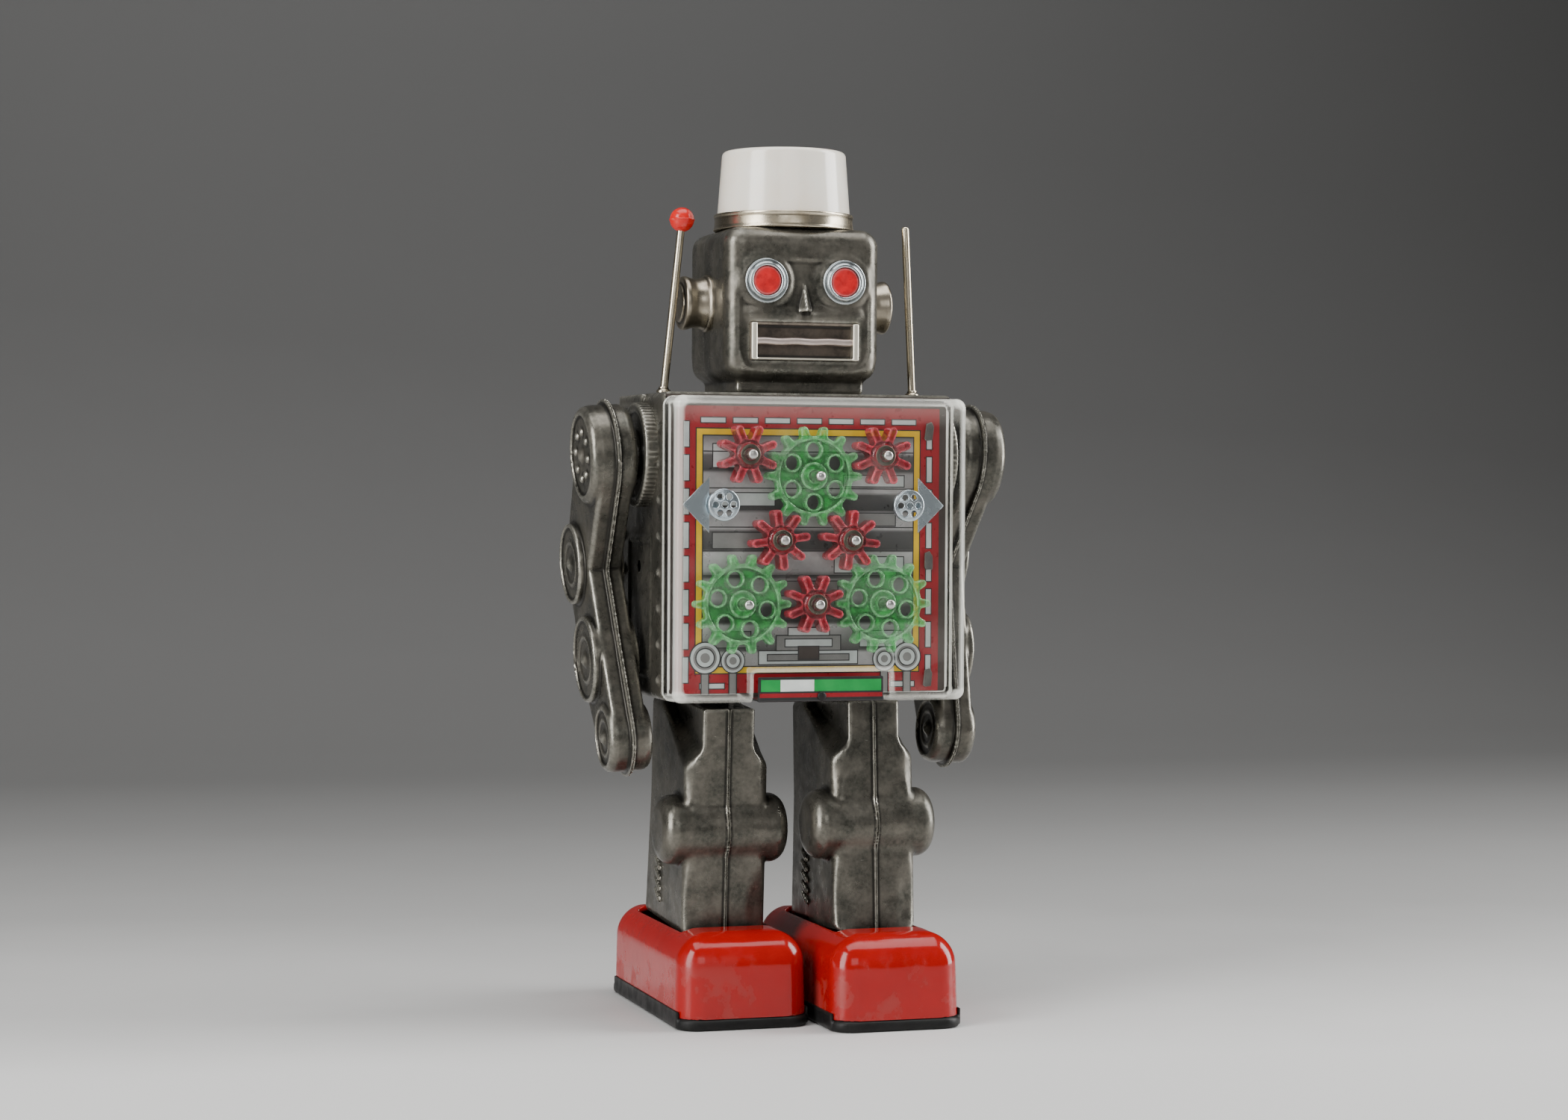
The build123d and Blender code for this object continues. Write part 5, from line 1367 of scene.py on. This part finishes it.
def legs():
    """Legs swung about the hips, the left one forward."""
    half = leg_half()

    def stride(verts, side):
        return turned(verts, "X", -side * STRIDE, (0, HIP_Y, HIP_Z))

    place_halves("leg", [("outer", half, 1), ("inner", half, -1)], LEG_X, stride)


# ---------------------------------------------------------------- feet

SOLE_THICK = 3.8


def foot_shell():
    """Enamelled foot about its own middle, with an opening for the leg."""
    half_w, half_l, top, sheet = 22.0, 46.0, 31.0, 1.4
    lip_low, opening_low = 22, 23.5

    def field(x, y, z):
        lean = np.clip(z - SOLE_THICK, 0, 30) * 0.05
        plan = rectangle(x, y - lean * 0.5, half_w - lean * 0.4, half_l - lean * 0.5, 8.0)
        skin = round_meet(plan, z - top, 10.5)
        inner = round_meet(plan + sheet, z - top + sheet, 9.5)
        shape = cut(np.maximum(skin, SOLE_THICK - z), inner, 0.3)
        opening = rectangle(x - 0.5, y - 3.7, 15.6, 29.2, 2.0)
        lip = np.maximum(opening - 1.5, np.abs(skin + 0.9) - 0.8)
        shape = join(shape, np.maximum(lip, lip_low - z), 0.4)
        return cut(shape, np.maximum(opening, opening_low - z), 0.6)

    return surface(field, (-half_w, -half_l, SOLE_THICK), (half_w, half_l, top), 0.6)


def foot_sole():
    """Black pressed sole with an edge strip on each side, a window for the roller and lugs for both pins."""
    half_w, half_l, lug_top = 22.5, 46.5, 18
    strip_low, strip_high = (half_w - 1.0, 5 - half_l, 0.6), (half_w, half_l - 7, SOLE_THICK + 2.2)
    roller_lug, ankle_lug, ankle_x = 8.6, 10, 0.5

    def field(x, y, z):
        plan = rectangle(x, y, half_w, half_l, 7.5)
        shape = round_meet(plan, slab(z, 0, SOLE_THICK), 1.3)
        shape = cut(shape, np.hypot(plan, z - SOLE_THICK) - 0.5, 0.4)
        shape = join(shape, box(np.abs(x), y, z, strip_low, strip_high, 0.4), 0.4)
        window = box(x, y, z, (-7.5, -33, -2), (7.5, -21, SOLE_THICK + 2), 0.6)
        shape = cut(shape, window, 0.3)
        for lug in (-roller_lug, roller_lug):
            shape = join(shape, box(x, y, z, (lug - 0.7, -30, 2), (lug + 0.7, -24, 8), 0.5), 0.4)
        for lug in (ankle_x - ankle_lug, ankle_x + ankle_lug):
            shape = join(shape, box(x, y, z, (lug - 0.9, -3, 2), (lug + 0.9, 7, lug_top), 0.7), 0.4)
        return shape

    return surface(field, (-half_w, -half_l, 0), (half_w, half_l, lug_top), 0.6)


def feet():
    """Both feet from one shell and one sole, mirrored, and their toe rollers."""
    parts = [
        ("foot_shell", foot_shell(), RED_TIN, "red_tin"),
        ("foot_sole", foot_sole(), BLACK_TIN, "black_tin"),
    ]
    roller_verts, roller_faces = lathe(rounded([
        (0, -9.6), (1.2, -9.6), (1.2, -6.5), (4.2, -6.5), (5.0, -5.6), (5.0, -1.2), (4.5, -0.6),
        (4.5, 0.6), (5.0, 1.2), (5.0, 5.6), (4.2, 6.5), (1.2, 6.5), (1.2, 9.6), (0, 9.6),
    ], 0.4), 40)
    for side_name, side in SIDES.items():
        x, y, _ = middle(f"foot_shell_{side_name}")
        for kind, (verts, faces), paint, slot in parts:
            flipped = faces if side > 0 else faces[:, ::-1]
            name = f"{kind}_{side_name}"
            stand_in(name, (verts * (side, 1, 1) + (x, y, 0), flipped), paint, f"foot_{side_name}", slot)
        name = f"toe_roller_{side_name}"
        roller = facing_side(roller_verts, 1) + middle(name), roller_faces
        stand_in(name, roller, RUBBER, name, "rubber")


# ---------------------------------------------------------------- key and carried-over clockwork

def winding_key():
    """Butterfly key of thick sheet, with a turned collar behind it."""
    low, high = corners("winding_key")
    centre_z, thick, collar_r = middle("winding_key")[2], 2.0, 4.9

    def field(x, y, z):
        across, up = np.abs(x), z - centre_z
        out = np.hypot(x, up)
        wing = strip(across, up, (0, 0), 4.6, (9.2, 0), 6.8)
        wing = cut(wing, np.hypot(across - 10.2, up) - 3.0, 0.3)
        shape = round_meet(wing, slab(y, high[1] - thick, high[1]), 0.5)
        collar = round_meet(out - collar_r, slab(y, low[1], high[1] - thick + 0.2), 0.7)
        ring = np.hypot(out - collar_r, y - low[1] - 2.4) - 0.5
        return join(shape, cut(collar, ring, 0.3), 1.0)

    stand_in("winding_key", surface(field, low, high, 0.4), NICKEL, "winding", "nickel")


def finish_clockwork():
    """Materials for the CAD pieces that show as they are."""
    brass = {"movement_plates", "great_wheel", "crown_wheel", "governor"}
    for name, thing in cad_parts.items():
        if not thing.hide_render:
            thing.data.materials.clear()
            thing.data.materials.append(BRASS if name in brass else STEEL)


# ---------------------------------------------------------------- studio, in metres

LIGHT_TARGET = Vector((0, 0, 0.15))
# Area lights as (name, place, width and height, watts).
LIGHTS = [
    ("left_box", (-1.15, -0.5, 0.55), (0.6, 1.5), 27),
    ("right_box", (1.2, -0.2, 0.5), (0.6, 1.5), 33),
    ("top_box", (0.0, -0.1, 1.5), (1.4, 1.0), 17),
    ("front_box", (-0.2, -1.9, 0.9), (1.2, 0.8), 6),
]
ROOM_GREY, ROOM_STRENGTH = 0.5, 0.35


def backdrop():
    """Pale floor that bends up into a plain backdrop, with painted shade that grows darker with distance and
    height and towards +X.
    """
    front, bend_y, bend_r, half_w, top, steps = -2.2, 0.9, 0.8, 3.0, 3.2, 12
    section = [(front, 0.0), (bend_y, 0.0)]
    for k in range(1, steps + 1):
        turn = math.pi / 2 * k / steps
        section.append((bend_y + bend_r * math.sin(turn), bend_r - bend_r * math.cos(turn)))
    section.append((bend_y + bend_r, top))
    verts = [(x, y, z) for y, z in section for x in (-half_w, half_w)]
    faces = [(2 * k, 2 * k + 1, 2 * k + 3, 2 * k + 2) for k in range(len(section) - 1)]
    mesh = bpy.data.meshes.new("floor")
    mesh.from_pydata(verts, [], faces)
    mesh.shade_smooth()
    floor = bpy.data.objects.new("floor", mesh)
    bpy.context.scene.collection.objects.link(floor)
    n = Nodes("floor")
    # Painted shade: the grey falls from pale at the front to dark far back and up the backdrop, and a little
    # towards +X.
    painted_falloff = n.plus(n.plus(n.axis("Y"), n.axis("Z")), n.times(n.axis("X"), 0.16))
    painted_falloff = n.plus(painted_falloff, n.between(n.noise(60, 3), 0.3, 0.7, -0.01, 0.01))
    tone = n.ramp(painted_falloff, [
        (-0.10, 0.64), (0.04, 0.48), (0.25, 0.31), (0.60, 0.205), (0.85, 0.165), (1.26, 0.148),
        (1.58, 0.122), (1.84, 0.098), (2.25, 0.086),
    ])
    floor.data.materials.append(n.finish(Base_Color=tone, Roughness=0.55))


def studio():
    """Two tall side lights, a top light and a weak front light in an evenly grey room."""
    for name, place, size, watts in LIGHTS:
        data = bpy.data.lights.new(name, "AREA")
        data.shape = "RECTANGLE"
        data.size, data.size_y = size
        data.energy = watts
        light = bpy.data.objects.new(name, data)
        light.location = place
        light.rotation_euler = (LIGHT_TARGET - light.location).to_track_quat("-Z", "Y").to_euler()
        bpy.context.scene.collection.objects.link(light)
    world = bpy.data.worlds.new("studio")
    world.use_nodes = True
    background = world.node_tree.nodes["Background"]
    background.inputs["Color"].default_value = (ROOM_GREY, ROOM_GREY, ROOM_GREY, 1)
    background.inputs["Strength"].default_value = ROOM_STRENGTH
    bpy.context.scene.world = world


# Camera in metres, degrees and millimetres, as fitted to the photograph.
CAMERA_PLACE = (-0.3184, -1.0083, 0.1738)
CAMERA_YAW, CAMERA_PITCH, CAMERA_ROLL = -17.53, 1.18, 0.34
SENSOR_MM, LENS_MM = 36, 71.81


def camera():
    """Camera turned by its yaw, pitch and roll, where back points from the scene to it."""
    yaw, pitch, roll = (math.radians(v) for v in (CAMERA_YAW, CAMERA_PITCH, CAMERA_ROLL))
    back = Vector((math.sin(yaw) * math.cos(pitch), -math.cos(yaw) * math.cos(pitch), math.sin(pitch)))
    right = Vector((math.cos(yaw), math.sin(yaw), 0))
    up = back.cross(right)
    turned_right = right * math.cos(roll) + up * math.sin(roll)
    turned_up = up * math.cos(roll) - right * math.sin(roll)
    data = bpy.data.cameras.new("camera")
    data.sensor_width = SENSOR_MM
    data.lens = LENS_MM
    thing = bpy.data.objects.new("camera", data)
    basis = Matrix((turned_right, turned_up, back)).transposed().to_4x4()
    thing.matrix_world = Matrix.Translation(CAMERA_PLACE) @ basis
    bpy.context.scene.collection.objects.link(thing)
    bpy.context.scene.camera = thing


torso_shell()
torso_back()
chest_print()
chest_window()
window_clip()
chest_fittings()
plate_tabs()
chest_gears()
gear_pins()
shoulder_bosses()
head_shell()
mouth()
eyes()
ears()
cap_and_collar()
antennas()
arms()
legs()
feet()
winding_key()
finish_clockwork()
backdrop()
studio()
camera()
